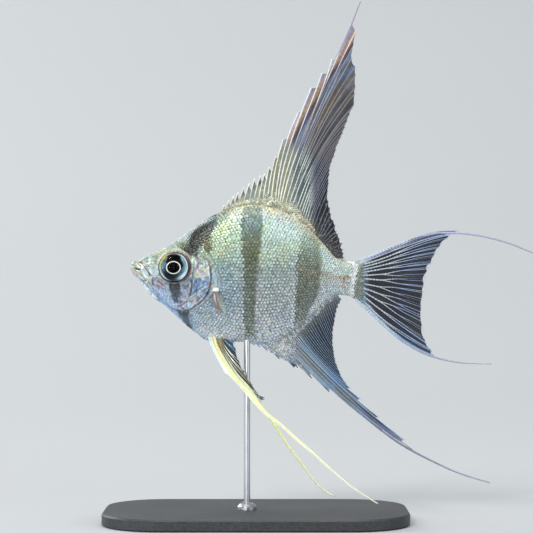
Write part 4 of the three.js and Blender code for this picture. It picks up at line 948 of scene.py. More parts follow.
TAIL = [
    [55.4, 44.2, 40.9, -1.05, -2.9], [55.75, 44.2, 41.05, -1.1, -2.85], [56.4, 44.3, 41.4, -1.16, -2.7], [57.2, 43.7, 42.7, -1.7, -1.4],
    [58.03, 42.4, 44.6, -0.9, -0.3], [58.27, 42.1, 45.6, -0.9, -0.2], [58.68, 41.7, 47.9, -0.6, -0.1], [58.92, 41.2, 50.3, -0.5, -0.1],
    [59.08, 41.1, 52.0, -0.3, 0], [59.32, 41.3, 53.7, -0.2, 0], [59.63, 41.4, 55.3, 0, 0], [59.87, 41.6, 57.3, 0, 0],
    [60.63, 41.75, 58.65, 0, 0], [60.87, 42.1, 60.25, 0, 0], [61.08, 42.35, 61.5, 0, 0.1], [61.32, 43.0, 63.15, 0, 0.2],
    [61.78, 43.45, 64.3, 0, 0.4], [62.02, 43.9, 64.9, 0, 0.5], [62.33, 44.3, 66.2, -0.2, 0.6], [62.57, 44.9, 67.1, -0.3, 0.7],
    [62.98, 45.7, 68.4, -0.6, 0.9], [63.22, 46.25, 69.25, -0.8, 1.0], [63.63, 47.75, 70.6, -1.1, 1.3], [63.87, 48.4, 71.45, -1.2, 1.4],
    [64.3, 49.0, 71.8, -0.5, 2.2], [64.6, 49.6, 72.1, -0.2, 2.8], [65.0, 50.4, 72.5, 0, 3.4]]
PELVIC = [
    [-12.2, -7.1, 36.5, -0.4, -0.3], [-11.7, 4.4, 23.8, -2.3, -0.6], [-10.0, 3.6, 26.8, -1.2, -0.3], [-8.6, 0.95, 30.6, -1.1, -0.4],
    [-7.6, -1.1, 33.8, -0.7, -0.3], [-6.8, -2.9, 37.2, -0.3, -0.1], [-6.2, -4.65, 41, 0, 0], [-5.7, -5.35, 44, 0, 0]]
DEPTH = 1.1
dorsal_at = ray_field(DORSAL, lambda b: (b, back(b) - DEPTH))
anal_at = ray_field(ANAL, lambda b: (b, belly(b) + DEPTH))
tail_at = ray_field(TAIL, lambda b: (np.full(np.shape(b), TAIL_X - 1.6), b))
pelvic_at = ray_field(PELVIC, lambda b: (b, np.full(np.shape(b), 46.0)))
sway_dorsal = lambda x, z: 1.6 * (np.maximum(0, z - 80) / 50) ** 2
sway_tail = lambda x, z: -2.6 * (np.maximum(0, x - 26) / 49) ** 2
sway_anal = lambda x, z: 1.8 * (np.maximum(0, 45 - z) / 35) ** 2


def tube(bag, P, ry, rin, colour, alpha=1.0, sides=6, across=(0.0, 1.0, 0.0)):
    """A closed tube along P: half-thickness ry along `across`, half-width rin in the fin's plane."""
    P = np.asarray(P, float)
    n = len(P)
    T = np.gradient(P, axis=0)
    T /= np.maximum(np.linalg.norm(T, axis=1)[:, None], 1e-9)
    U = np.broadcast_to(np.array(across, float), (n, 3))
    U = U - (U * T).sum(1)[:, None] * T
    U /= np.linalg.norm(U, axis=1)[:, None]
    W = np.cross(T, U)
    ang = np.linspace(0, 2 * np.pi, sides, endpoint=False)
    ry, rin = np.broadcast_to(ry, (n,)), np.broadcast_to(rin, (n,))
    ring = (P[:, None] + U[:, None] * (np.cos(ang)[None] * ry[:, None])[..., None]
            + W[:, None] * (np.sin(ang)[None] * rin[:, None])[..., None])
    v = np.concatenate([ring.reshape(-1, 3), P[:1] - T[:1] * 0.02, P[-1:] + T[-1:] * 0.03])
    q = grid_faces(n, sides, wrap=True)
    k = np.arange(sides)
    c0, c1 = n * sides, n * sides + 1
    tris = np.concatenate([np.stack([(k + 1) % sides, k, np.full(sides, c0)], -1),
                           np.stack([(n - 1) * sides + k, (n - 1) * sides + (k + 1) % sides, np.full(sides, c1)], -1)])
    col = np.broadcast_to(np.asarray(colour, float), (n, 3))
    col = np.concatenate([np.repeat(col, sides, 0), col[:1], col[-1:]])
    bag.add(v, q, tris, col, alpha)


def sheet_solid(bag, P, thick, colour, cover):
    """A web P[i, j] with two faces half a thickness apart, closed round the rim."""
    R, T = P.shape[:2]
    N = np.cross(np.gradient(P, axis=0), np.gradient(P, axis=1))
    N /= np.maximum(np.linalg.norm(N, axis=2, keepdims=True), 1e-9)
    A, B = P + N * thick[..., None] / 2, P - N * thick[..., None] / 2
    q = grid_faces(R, T)
    n = R * T
    rim = []
    idx = np.arange(n).reshape(R, T)
    loop = np.concatenate([idx[:, 0], idx[-1, 1:], idx[-2::-1, -1], idx[0, -2:0:-1]])
    nxt = np.roll(loop, -1)
    rim = np.stack([loop, nxt, nxt + n, loop + n], -1)
    quads = np.concatenate([q[:, ::-1], q + n, rim])
    v = np.concatenate([A.reshape(-1, 3), B.reshape(-1, 3)])
    c = np.broadcast_to(colour, (R, T, 3)).reshape(-1, 3)
    a = np.broadcast_to(cover, (R, T)).reshape(-1)
    bag.add(v, quads, None, np.concatenate([c, c]), np.concatenate([a, a]))


def fin_columns(bases, per_gap):
    """Ray parameter for each web column: per_gap columns between neighbouring rays."""
    b, f, g = [], [], []
    for i in range(len(bases) - 1):
        for k in range(per_gap):
            u = k / per_gap
            b.append(bases[i] + (bases[i + 1] - bases[i]) * u)
            f.append(u)
            g.append(i)
    b.append(bases[-1]); f.append(1.0); g.append(len(bases) - 2)
    return np.array(b), np.array(f), np.array(g)


def web_heights(at, bases, b, f, g, L, dips, notch, gen, trailing=()):
    """How far up each web column reaches, as a share of its ray: steps at the spines, scallops between soft rays."""
    tips = [tuple(float(v) for v in at(q, 1.0)) for q in bases]
    reach = np.empty(len(b))
    for i in range(len(bases) - 1):
        at_gap = np.nonzero(g == i)[0]
        u = f[at_gap]
        l0, l1 = tips[i][2], tips[i + 1][2]
        if i < len(dips):
            # the web hangs from behind one spine's tip to a foot on the next spine
            t = np.linspace(0, 1, 400)
            x, z, _ = at(np.full(400, bases[i + 1]), t)
            k = np.argmin(np.hypot(x - tips[i][0], z - tips[i][1]))
            low = min(t[k] * l1 - dips[i], l1 - 0.12)
            fall = 1 - (1 - u) ** (1.7 if dips[i] > 0.3 else 1.0)
            d = (l0 - 0.1) * (1 - fall) + low * fall
        elif i in trailing:
            # the next ray ends short of this one: the web runs back from its tip to a foot on this ray
            t = np.linspace(0, 1, 400)
            x, z, _ = at(np.full(400, bases[i]), t)
            k = np.argmin(np.hypot(x - tips[i + 1][0], z - tips[i + 1][1]))
            low = t[k] * l0 - 0.5
            d = low * (1 - u) ** 1.5 + (l1 - 0.1) * (1 - (1 - u) ** 1.5)
        else:
            rough = gen.uniform(0.5, 1.5)
            d = l0 * (1 - u) + l1 * u - notch * rough * np.sin(np.pi * u) ** 0.8
        reach[at_gap] = d / np.maximum(L[at_gap], 0.5)
    return np.clip(reach, 0.3, 1)


def build_fin(name, at, sway, bases, spines, dips, notch, body_edge, web_paint, ray_paint,
              ray_r, replaces, rows=30, per_gap=5, root=1.15, branch=0.5, spread=0.12, ripple=0.05, seed=1, bead=0.0, late=(), decay=1.1, trailing=(), twice=0.0):
    gen = np.random.default_rng(seed)
    b, f, g = fin_columns(bases, per_gap)
    _, _, L = at(b, 1.0)
    tmax = web_heights(at, bases, b, f, g, L, dips, notch, gen, trailing)
    t = np.linspace(0, 1, rows)[None, :] ** 0.85 * tmax[:, None]
    B = np.broadcast_to(b[:, None], t.shape)
    x, z, _ = at(B, t)
    d = t * L[:, None]
    pleat = ripple * np.sin(np.pi * np.broadcast_to(f[:, None], t.shape)) * np.where(g[:, None] % 2 == 0, 1, -1)
    y = sway(x, z) + pleat * step(0, 6, d)
    P = np.stack([x, y, z], -1)
    out = body_edge(x, z)  # distance outside the body, mm
    swell = lambda o: 0.09 + (root - 0.09) * np.exp(-np.maximum(o, 0) / decay)
    thick = swell(out)
    colour, cover = web_paint(B, t, x, z, out, f[:, None], d)
    web = Bag()
    sheet_solid(web, P, thick, colour, cover)
    wo = web.build(name + "_web", WEB, replaces)
    # rays
    rays = Bag()
    for i, base in enumerate(bases):
        _, _, l = at(base, 1.0)
        l = float(l)
        if l < 1.0:
            continue
        spine = i <= spines
        n = max(8, int(l / 0.35)) if not spine else max(6, int(l / 0.7))
        tt = np.linspace(0.0, 1.0 + (0.2 / l if not spine else 0.1 / l), n)
        begin = 0.0
        if any(abs(base - q) < 1e-6 for q in late):
            begin = gen.uniform(0.26, 0.36)
            tt = tt[tt > begin]
        whole = spine or l < 5 or branch > 0.98
        starts = {q: gen.uniform(branch - 0.05, branch + 0.05) for q in ((0.0,) if whole else (-1, 1))}
        for fork, again in [(q, s) for q in starts for s in ((0,) if whole or not twice else (-1, 1))]:
            start = starts[fork]
            tq = tt if fork <= 0 else tt[tt > start - 0.02]
            tq = tq if again <= 0 else tq[tq > start + 0.24]
            off = 0.0 if whole else fork * spread * step(start, start + 0.3, tq) + again * twice * step(start + 0.26, start + 0.48, tq)
            bb = np.clip(base + off, bases[0], bases[-1])
            x, z, _ = at(np.broadcast_to(bb, tq.shape), tq)
            dist = tq * l
            r = ray_r(base, tq, spine, l)
            if not spine:
                r = r * (1 + 0.22 * np.sin(2 * np.pi * dist / 0.6 + i) * (1 - step(0.45, 0.8, tq)))
            if fork != 0.0:
                r = r * (1 - 0.28 * step(start - 0.05, start + 0.1, tq)) * (1 - (0.3 * step(start + 0.2, start + 0.4, tq) if twice else 0))
            if begin:
                r = r * (0.35 + 0.65 * step(begin, begin + 0.12, tq))
            P = np.stack([x, sway(x, z), z], -1)
            col = ray_paint(base, tq, x, z, body_edge(x, z), dist)
            if bead:
                beads = np.sin(2 * np.pi * dist / 0.8 + 1.7 * i) * (1 - step(0.5, 0.75, tq)) * step(0.3, 1.5, body_edge(x, z))
                col = col * (1 + bead * beads)[:, None]
            tube(rays, P, np.maximum(r + 0.03, swell(body_edge(x, z)) / 2 + 0.04 * step(0, 0.4, body_edge(x, z))), r, np.clip(col, 0.003, 0.97), sides=6)
    ro = rays.build(name + "_rays", RAY)
    return wo, ro


def body_half(x, z):
    """Half the body's thickness at a place in the side view, mm."""
    hi, lo = back(x), belly(x)
    mid = waist(x)
    s = np.clip(np.where(z > mid, (z - mid) / (hi - mid), (mid - z) / (mid - lo)), 0, 1)
    return np.where((z > lo) & (z < hi), girth(x) * (1 - s * s) ** LENS, 0.0)


def sheath(name, at, sway, body_edge, b_range, reach, shade, seed, size=0.62, root=1.15, short=lambda b: 1.0):
    """Small scales that run out from the body on to the foot of a fin, on both faces."""
    gen = np.random.default_rng(seed)
    P, F, D, U = [], [], [], []
    row = 0
    bs = np.arange(b_range[0], b_range[1], 0.36)
    for b in bs:
        _, _, l = at(b, 1.0)
        l = float(l)
        t = (np.arange(0.1, max(0.7, min(l - short(b), 10)), 0.56) + (0.28 if row % 2 else 0)) / l
        row += 1
        x, z, _ = at(np.full(len(t), b), t)
        x1, z1, _ = at(np.full(len(t), b), t + 0.02)
        out = body_edge(x, z)
        far = float(np.interp(b, *reach))
        keep = (out > -0.75) & (out < far) & (gen.uniform(size=len(t)) < 1.35 - 0.9 * out / far)
        P.append(np.stack([x, z], -1)[keep])
        F.append(np.stack([x1 - x, z1 - z], -1)[keep])
        D.append((np.maximum(out, 0) / far)[keep])
        U.append(np.full(keep.sum(), b))
    P, F, D, U = (np.concatenate(v) for v in (P, F, D, U))
    bag = Bag()
    for side in (-1, 1):
        n = len(P)
        out = body_edge(P[:, 0], P[:, 1])
        half = np.maximum((0.09 + (root - 0.09) * np.exp(-np.maximum(out, 0) / 1.1)) / 2, body_half(P[:, 0], P[:, 1]) - COAT)
        p = np.stack([P[:, 0], sway(P[:, 0], P[:, 1]) + side * (half + 0.0), P[:, 1]], -1)
        f = np.stack([F[:, 0], np.zeros(n), F[:, 1]], -1)
        lean = np.where(at is anal_at, -1.0, 1.0) * 0.75 * (1 - step(-0.3, 0.8, out))
        N = np.stack([np.zeros(n), np.full(n, float(side)), lean], -1) + gen.normal(0, 0.05, (n, 3))
        N /= np.linalg.norm(N, axis=1)[:, None]
        c = shade(P[:, 0], P[:, 1], D) * jitter(n, 0.3, gen)
        sz = size * (1.1 - 0.4 * D)
        uv = unwrap(P[:, 0], (13 + 4 * D) * (1 if at is not anal_at else -1), np.full(n, side > 0))
        lay_scales(bag, p, N, f, sz * 1.25, sz, 0.05, c, uv, thick=0.03, pale=0.8, contrast=0.85)
    print(name, 2 * len(P), "scales")
    return bag.build(name, SCALE)


def above_back(x, z):
    return z - back(np.clip(x, -12, 21))


def below_belly(x, z):
    # measured square to the steep lower edge
    return (belly(np.clip(x, -6, 21)) - z) * 0.75


def behind_stem(x, z):
    return x - TAIL_X


def streaks(b, d, seed, fine=2.6):
    """Lengthwise streaks between the rays, 0 to 1."""
    return 0.6 * noise(b * fine, seed, d * 0.16, seed) + 0.4 * noise(b * fine * 2.3, seed + 3, d * 0.33, seed + 1)


dorsal_bases = np.sort(np.concatenate([[r[0] for r in DORSAL], [9.5, 10.2, 10.9, 11.5, 12.05, 12.55, 13.1]]))
LEAD = ([82.0, 86.3, 88.4, 90.9, 95.25, 102, 108.25, 112, 115.5, 124.6], [-5.75, -0.8, 1.6, 2.75, 3.75, 4.6, 5.2, 5.7, 6.2, 6.5])


def rank(b, z):
    """How many rays a place lies behind the dorsal fin's leading edge."""
    number = np.arange(len(dorsal_bases), dtype=float)
    return np.interp(b, dorsal_bases, number) - np.interp(np.interp(z, *LEAD), dorsal_bases, number)


def dorsal_web(b, t, x, z, out, f, d):
    n = streaks(b, d, 101)
    gap = noise(np.floor(np.interp(b, dorsal_bases, np.arange(len(dorsal_bases)))) * 7.3, 1.0, 0.0, 102)
    # lower part: light in front, slate in the middle, mauve behind
    front = mix(lin(116, 118, 100), lin(156, 160, 148), n)
    front = mix(front, lin(104, 126, 138), 0.6 * step(0.5, 0.62, gap))
    slate = mix(lin(62, 72, 76), lin(104, 112, 114), n)
    rear = mix(lin(10, 10, 13), lin(28, 27, 33), n)
    c = mix(front, slate, step(7.5, 11.0, x - 0.12 * (z - 84)))
    c = mix(c, rear, step(12.2, 15.5, x))
    # upper part: bands that follow the rays
    k = rank(b, z)
    number = np.interp(b, dorsal_bases, np.arange(len(dorsal_bases)))
    stripe = noise(number * 4.1 + 40, 5.0, d * 0.09, 124)
    band = ramp(k, [(0, (176, 172, 200)), (0.85, (148, 146, 178)), (1.15, (180, 150, 122)), (1.9, (146, 112, 88)), (2.15, (50, 54, 82)), (2.8, (58, 68, 104)),
                    (3.2, (96, 122, 164)), (3.8, (88, 110, 150)), (4.2, (82, 76, 80)), (4.9, (112, 104, 106)), (5.2, (92, 118, 158)), (5.9, (80, 100, 136)),
                    (6.3, (88, 84, 92)), (8, (108, 112, 126)), (10, (76, 84, 98)), (14, (92, 90, 98)), (20, (80, 80, 92))])
    late = step(6, 8, k)[..., None]
    band = mix(band, band.mean(-1, keepdims=True) * np.array([1.08, 1.0, 0.92]), 0.25 + 0.12 * late[..., 0])
    band = band * (0.74 + 0.56 * n)[..., None] * (1 - 0.28 * late) * (1 + late * 0.9 * (noise(b * 9.0, 5, d * 0.5, 123)[..., None] - 0.5))
    band = band * (1 + 0.95 * (stripe - 0.5))[..., None]
    band = mix(band, band * np.array([1.2, 0.98, 0.74]), step(0.55, 0.75, noise(number * 2.3 + 11, 2.0, d * 0.07, 125)) * (1 - step(9, 12, k)))
    c = mix(c, band, 0.92 * step(89, 95, z + 0.5 * (x - 12)))
    # dark blue behind each of the front spines' tips
    tip = (1 - step(3.0, 4.6, b)) * step(0.0, 1.0, z - np.interp(b, [r[0] for r in DORSAL], [r[2] for r in DORSAL]) + 3.0)
    c = mix(c, lin(26, 32, 58), 0.88 * tip)
    base = np.exp(-np.maximum(out, 0) / 2.2)
    c = mix(c, mix(lin(158, 162, 138), lin(128, 128, 116), step(4, 12, x)), 0.7 * base * (1 - 0.7 * step(13, 16, x)))
    specks = step(0.74, 0.88, noise(x * 3.0, 1.0, z * 3.0, 109))
    c = mix(c, lin(196, 202, 200), 0.6 * specks * (1 - step(6, 20, out)) * (1 - 0.5 * step(12, 15, x)))
    cover = 0.93 + 0.07 * base - 0.05 * step(0.5, 0.8, n)
    cover = np.where(out < 0.4, 1.0, cover)
    return c, np.clip(cover, 0.3, 1)


def dorsal_ray(b, t, x, z, out, d):
    c = mix(lin(240, 236, 212) * np.ones(t.shape + (3,)), lin(220, 226, 216), step(7, 10, x))
    c = mix(c, lin(122, 122, 134) if int(b * 10) % 2 else lin(108, 118, 138), step(12.5, 15, x))
    k = rank(b, z)
    band = ramp(k, [(0, (240, 236, 244)), (1.4, (244, 242, 244)), (1.6, (232, 230, 236)), (2.4, (226, 226, 236)), (2.6, (206, 186, 160)), (3.5, (168, 140, 114)),
                    (4.5, (150, 172, 202)), (5.4, (156, 176, 204)), (5.6, (168, 144, 122)), (7, (158, 146, 140)), (9, (164, 170, 180)), (12, (140, 142, 156)), (20, (126, 128, 146))])
    late = step(6, 8, k)
    band = mix(band, band.mean(-1, keepdims=True) * np.array([1.05, 1.0, 0.95]), 0.25 + 0.1 * late) * (1 - 0.2 * late)[..., None]
    band = band * (np.array([0.92, 1.0, 1.12]) if int(b * 7) % 2 else np.array([1.12, 1.0, 0.86])) ** late[..., None]
    c = mix(c, band, step(89, 95, z + 0.5 * (x - 12)))
    return mix(c, lin(226, 220, 190), 0.6 * np.exp(-np.maximum(out, 0) / 1.6) * (1 - 0.5 * step(8, 14, x)))


def anal_web(b, t, x, z, out, f, d):
    n = streaks(b, d, 111)
    grey = mix(lin(84, 92, 100), lin(122, 128, 138), n)
    c = mix(grey, lin(76, 84, 100), step(6.2, 7.2, b) * step(4, 8, x))
    # pale-cyan strip, olive-grey strip, blue patch, then the dark rear membranes
    c = mix(c, lin(146, 172, 184), 0.8 * bump((b - 6.0) / 0.42, 1) * step(9, 12, x))
    c = mix(c, lin(98, 106, 92), 0.85 * bump((b - 7.3) / 0.9, 1) * step(9.5, 12, x) * (1 - step(22, 27, x)))
    c = mix(c, lin(58, 96, 148), 0.8 * np.exp(-(((x - 20.3) / 3.0) ** 2 + ((z - 37.2) / 4.0) ** 2)))
    rear = step(9.3, 10.6, b)
    c = mix(c, mix(lin(10, 17, 28), lin(18, 30, 46), n), 0.96 * rear)
    blade = step(22, 28, x)
    c = mix(c, mix(lin(62, 70, 92), lin(112, 130, 160), step(0.35, 0.65, n)), 0.88 * blade)
    base = np.exp(-np.maximum(out, 0) / 1.3)
    c = mix(c, lin(150, 158, 164), 0.6 * base)
    tip = (b < 5.9) * step(0.0, 1.0, 1.6 - (z - np.interp(b, [r[0] for r in ANAL], [r[2] for r in ANAL]))) * (b > 0.6)
    c = mix(c, lin(20, 25, 38), 0.88 * tip)
    edge = np.exp(-np.maximum(z - np.interp(x, [0, 2.75, 5.75, 9.5, 13.9, 18.25], [44, 42.6, 40.6, 38.5, 35.75, 32.4]), 0) / 1.0) * (x < 20)
    c = mix(c, lin(122, 164, 206), 0.75 * edge * (1 - tip))
    specks = step(0.72, 0.86, noise(x * 3.0, 1.0, z * 3.0, 113)) * (1 - step(5.5, 7.5, b))
    c = mix(c, lin(196, 202, 212), 0.55 * specks)
    cover = 0.94 + 0.06 * base - 0.04 * step(0.5, 0.8, n)
    cover = np.where(out < 0.4, 1.0, cover)
    return c, np.clip(cover, 0.3, 1)


def anal_ray(b, t, x, z, out, d):
    c = lin(146, 152, 164) * np.ones(t.shape + (3,))
    c = mix(c, lin(136, 166, 190), step(6.8, 8.0, b) * step(9, 12, x))
    c = mix(c, lin(138, 160, 182), float(step(9.3, 10.6, b)) * np.ones_like(t))
    c = mix(c, mix(lin(170, 186, 206), lin(118, 120, 134), float(int(b * 20) % 2)), step(22, 28, x))
    if 0.6 < b < 5.9:
        c = mix(c, lin(26, 32, 48), 0.9 * step(0.84, 0.94, t))
    start = np.exp(-((out - 1.2) / 1.4) ** 2) * step(6.5, 8.5, b)
    return mix(c, lin(226, 226, 208), 0.8 * start)


TAIL_LOWER = [(24, 55.9), (25.3, 55.0), (26.7, 53.8), (28, 52.3), (29.2, 51.0), (30.7, 49.7), (32, 48.3), (33.3, 47.1), (34.7, 46.2), (36, 45.1), (38.7, 43.4)]


def tail_web(b, t, x, z, out, f, d):
    n = streaks(b, d, 121, 1.8)
    c = mix(lin(30, 28, 33), lin(50, 47, 53), n)
    lower = 1 - step(56.4, 58.4, b)
    c = mix(c, lin(46, 60, 78), 0.55 * lower)
    edge = np.maximum(1 - step(55.5, 55.9, b), step(64.1, 64.4, b))
    c = mix(c, lin(78, 86, 112), 0.8 * edge)
    # where it leaves the stem: olive, then blue-grey, with pale dots; pale blue along the lower edge
    base = 1 - step(-0.6, 0.5, out - 0.2 * np.abs(z - 60.5) / 4)
    c = mix(c, lin(96, 116, 134), 0.85 * (1 - step(0.2, 1.8, out)))
    c = mix(c, lin(124, 128, 104), 0.75 * base)
    dl, share, _ = along(x, z, TAIL_LOWER)
    w = 2.3 - 1.5 * share
    foot = (1 - step(0.45 * w, w, dl)) * (1 - step(0.75, 1.0, share))
    c = mix(c, lin(96, 124, 148), 0.9 * foot)
    c = mix(c, lin(196, 208, 214), 0.85 * (1 - step(26.5, 29.5, x)) * np.maximum(step(64.1, 64.9, z), 1 - step(0.1, 0.5, dl)))
    specks = step(0.66, 0.8, noise(x * 3.9, 1.0, z * 3.9, 123)) * np.maximum(foot, 0.8 * (1 - step(0.5, 2.5, out)))
    c = mix(c, lin(206, 218, 228), 0.75 * specks)
    specks = step(0.72, 0.84, noise(x * 3.9, 5.0, z * 3.9, 124)) * np.maximum(foot, base)
    c = mix(c, c * 0.3, 0.8 * specks)
    cover = 0.91 + 0.09 * np.maximum(base, foot) - 0.05 * step(0.55, 0.8, n)
    cover = np.where(out < 0.3, 1.0, cover)
    return c, np.clip(cover, 0.25, 1)


def tail_ray(b, t, x, z, out, d):
    c = mix(lin(178, 188, 196) * np.ones(t.shape + (3,)), lin(152, 174, 206), step(0.46, 0.66, t))
    edge = max(float(1 - step(55.8, 56.3, b)), float(step(64.0, 64.2, b)))
    c = mix(c, lin(146, 160, 200) if int(b * 20) % 2 else lin(206, 212, 226), 0.85 * edge * np.ones_like(t))
    return mix(c, lin(150, 172, 186), 0.6 * np.exp(-np.maximum(out, 0) / 0.9))


def dorsal_sheath(x, z, D):
    c = mix(mix(lin(186, 186, 162), lin(196, 188, 160), step(6, 13, x)), lin(118, 126, 120), 0.75 * step(0.25, 0.95, D) * (1 - step(12, 14, x)))
    return mix(c, lin(140, 166, 200), 0.8 * step(0.55, 0.9, D) * step(12.5, 15, x))


def anal_sheath(x, z, D):
    c = mix(lin(170, 178, 186), lin(112, 120, 130), step(0.2, 0.9, D))
    return mix(c, lin(196, 188, 164), 0.45 * noise(x * 0.8, 2.0, z * 0.8, 131) * (1 - D))


def ray_radius(b, t, spine, l):
    return 0.185 - 0.06 * t if spine else (0.14 - 0.055 * t) * (0.82 if b > 13 else 1)


build_fin("dorsal", dorsal_at, sway_dorsal, dorsal_bases, 15, [0.5, 1.0, 1.3, 1.5, 1.5, 1.5, 1.5, 1.3, 1.2, 0.9, 0, -0.6, -0.6, -0.5, -0.2, -0.3], 0.4,
          above_back, dorsal_web, dorsal_ray, ray_radius, ["fin_dorsal"],
          seed=3, per_gap=8, branch=0.99, bead=0.12, late=(6.5, 7.1, 7.3, 7.8, 8.1, 8.8, 9.5, 10.2, 10.9, 11.5, 12.05, 12.55, 13.1))
anal_bases = np.array([r[0] for r in ANAL])
anal_bases = np.sort(np.concatenate([anal_bases, [9.7, 10.55, 11.5, 12.5, 13.65, 14.75, 15.6, 16.5, 17.5, 18.4, 19.15]]))
build_fin("anal", anal_at, sway_anal, anal_bases, 7, [0.4, 0.7, 0.9, 1.0, -0.1, 0.9, 1.1, 0.2], 0.4, below_belly, anal_web, anal_ray,
          lambda b, t, spine, l: ray_radius(b, t, spine, l) * (0.54 if b > 9.5 else 1), ["fin_anal"], seed=4, branch=0.99, bead=0.12, trailing=(10, 11, 12, 13))
tail_bases = np.array([55.4, 55.75, 56.1, 56.4, 57.2, 58.15, 58.8, 59.2, 59.75, 60.75, 61.2, 61.9, 62.45, 63.1, 63.75, 64.3, 64.55, 64.8, 65.0])
build_fin("tail", tail_at, sway_tail, tail_bases, -1, [], 0.42, behind_stem, tail_web, tail_ray,
          lambda b, t, spine, l: (0.205 - 0.075 * t) * (0.7 if b < 56 or b > 64 else 1), ["fin_tail"], seed=5, per_gap=7, branch=0.34, spread=0.13, root=0.62, decay=0.7, bead=0.42, twice=0.045)
sheath("scales_dorsal", dorsal_at, sway_dorsal, above_back, (-8.6, 14.6),
       ([-8.7, -5, -1.9, 0.5, 3, 5, 8, 11, 13, 14.6], [0.3, 0.5, 0.8, 1.6, 3.0, 4.0, 3.8, 2.2, 1.2, 0.4]), dorsal_sheath, 31)
sheath("scales_anal", anal_at, sway_anal, below_belly, (-2.8, 19.2),
       ([-3, 0, 2.5, 5, 6.5, 8, 12, 16, 19.5], [1.0, 3.0, 6.0, 9.0, 7.0, 2.0, 1.0, 0.8, 0.6]), anal_sheath, 32, short=lambda b: 2.4 if b < 5.8 else 1.0)


# threads that run out of the fins
def thread(bag, points, sway, r0, r1, c0, c1, n=40, ease=0.0):
    p = spline([(x, z) for x, z in points], n)
    t = np.linspace(0, 1, n)
    P = np.stack([p[:, 0], sway(p[:, 0], p[:, 1]), p[:, 1]], -1)
    r = (r0 + (r1 - r0) * t) * (1 + 0.05 * np.sin(t * 90))
    if ease:
        r = r * (0.12 + 0.88 * step(0, ease, t))
    tube(bag, P, r, r * 1.1, mix(lin(*c0) * np.ones((n, 3)), lin(*c1), t), sides=8)


threads = Bag()
thread(threads, [(19.2, 114.9), (21.0, 117.9), (22.25, 120.6), (23.5, 123.35), (24.2, 125.0), (25.0, 127.1), (25.6, 128.6), (26.2, 130.1)], sway_dorsal, 0.26, 0.13, (176, 168, 186), (146, 134, 150), ease=0.2)
thread(threads, [(24, 28.2), (30, 23.6), (36.5, 19.0), (41.2, 16.35), (45.7, 14.1), (50.1, 12.1), (54.6, 10.55), (58.6, 9.4)], sway_anal, 0.34, 0.13, (112, 118, 130), (150, 152, 172), ease=0.4)
threads.build("threads", RAY)
up = Bag()
thread(up, [(36, 69.2), (42, 71.45), (46, 72.0), (50.3, 71.95), (54.8, 71.5), (57.8, 70.9), (60.8, 70.1), (64.2, 69.0), (67, 67.85), (69.3, 66.85), (73.2, 64.9)], sway_tail, 0.3, 0.13, (160, 168, 200), (162, 152, 164), 60, ease=0.35)
up.build("tail_streamer_upper", RAY, ["tail_thread_upper"])
dn = Bag()
thread(dn, [(34, 46.9), (39, 43.45), (44.2, 41.15), (47.9, 40.15), (52.4, 39.5), (58.7, 39.3)], sway_tail, 0.32, 0.12, (146, 158, 186), (170, 166, 178), 40, ease=0.45)
dn.build("tail_streamer_lower", RAY, ["tail_thread_lower"])


# ------------------------------------------------------------------- belly fins
FEELER = {
    -1: [(2.2, 27.5), (7.06, 23.65), (9.83, 21.1), (13.3, 18.2), (16.7, 15.15), (20.2, 12.05), (23.6, 9.3), (27.05, 7.0), (30.1, 5.15)],
    1: [(2.4, 27.0), (5.73, 21.9), (7.85, 18.65), (9.98, 15.8), (12.1, 12.9), (13.84, 10.45), (15.97, 7.9), (17.8, 6.45), (19.74, 5.35)]}


FAN = [
    [0.0, 1.5, 30.2, -1.8, -1.7], [0.17, 0.5, 31.6, -1.55, -1.3], [0.34, -1.35, 34.5, -1.3, -0.9], [0.5, -3.1, 37.3, -1.0, -0.6],
    [0.66, -4.2, 39.75, -0.7, -0.4], [0.83, -5.05, 42.8, -0.35, -0.1], [1.0, -5.6, 44.75, -0.1, 0]]
fan_at = ray_field(FAN, lambda b: (-10.15 + 2.1 * b, np.full(np.shape(b), 45.9)))


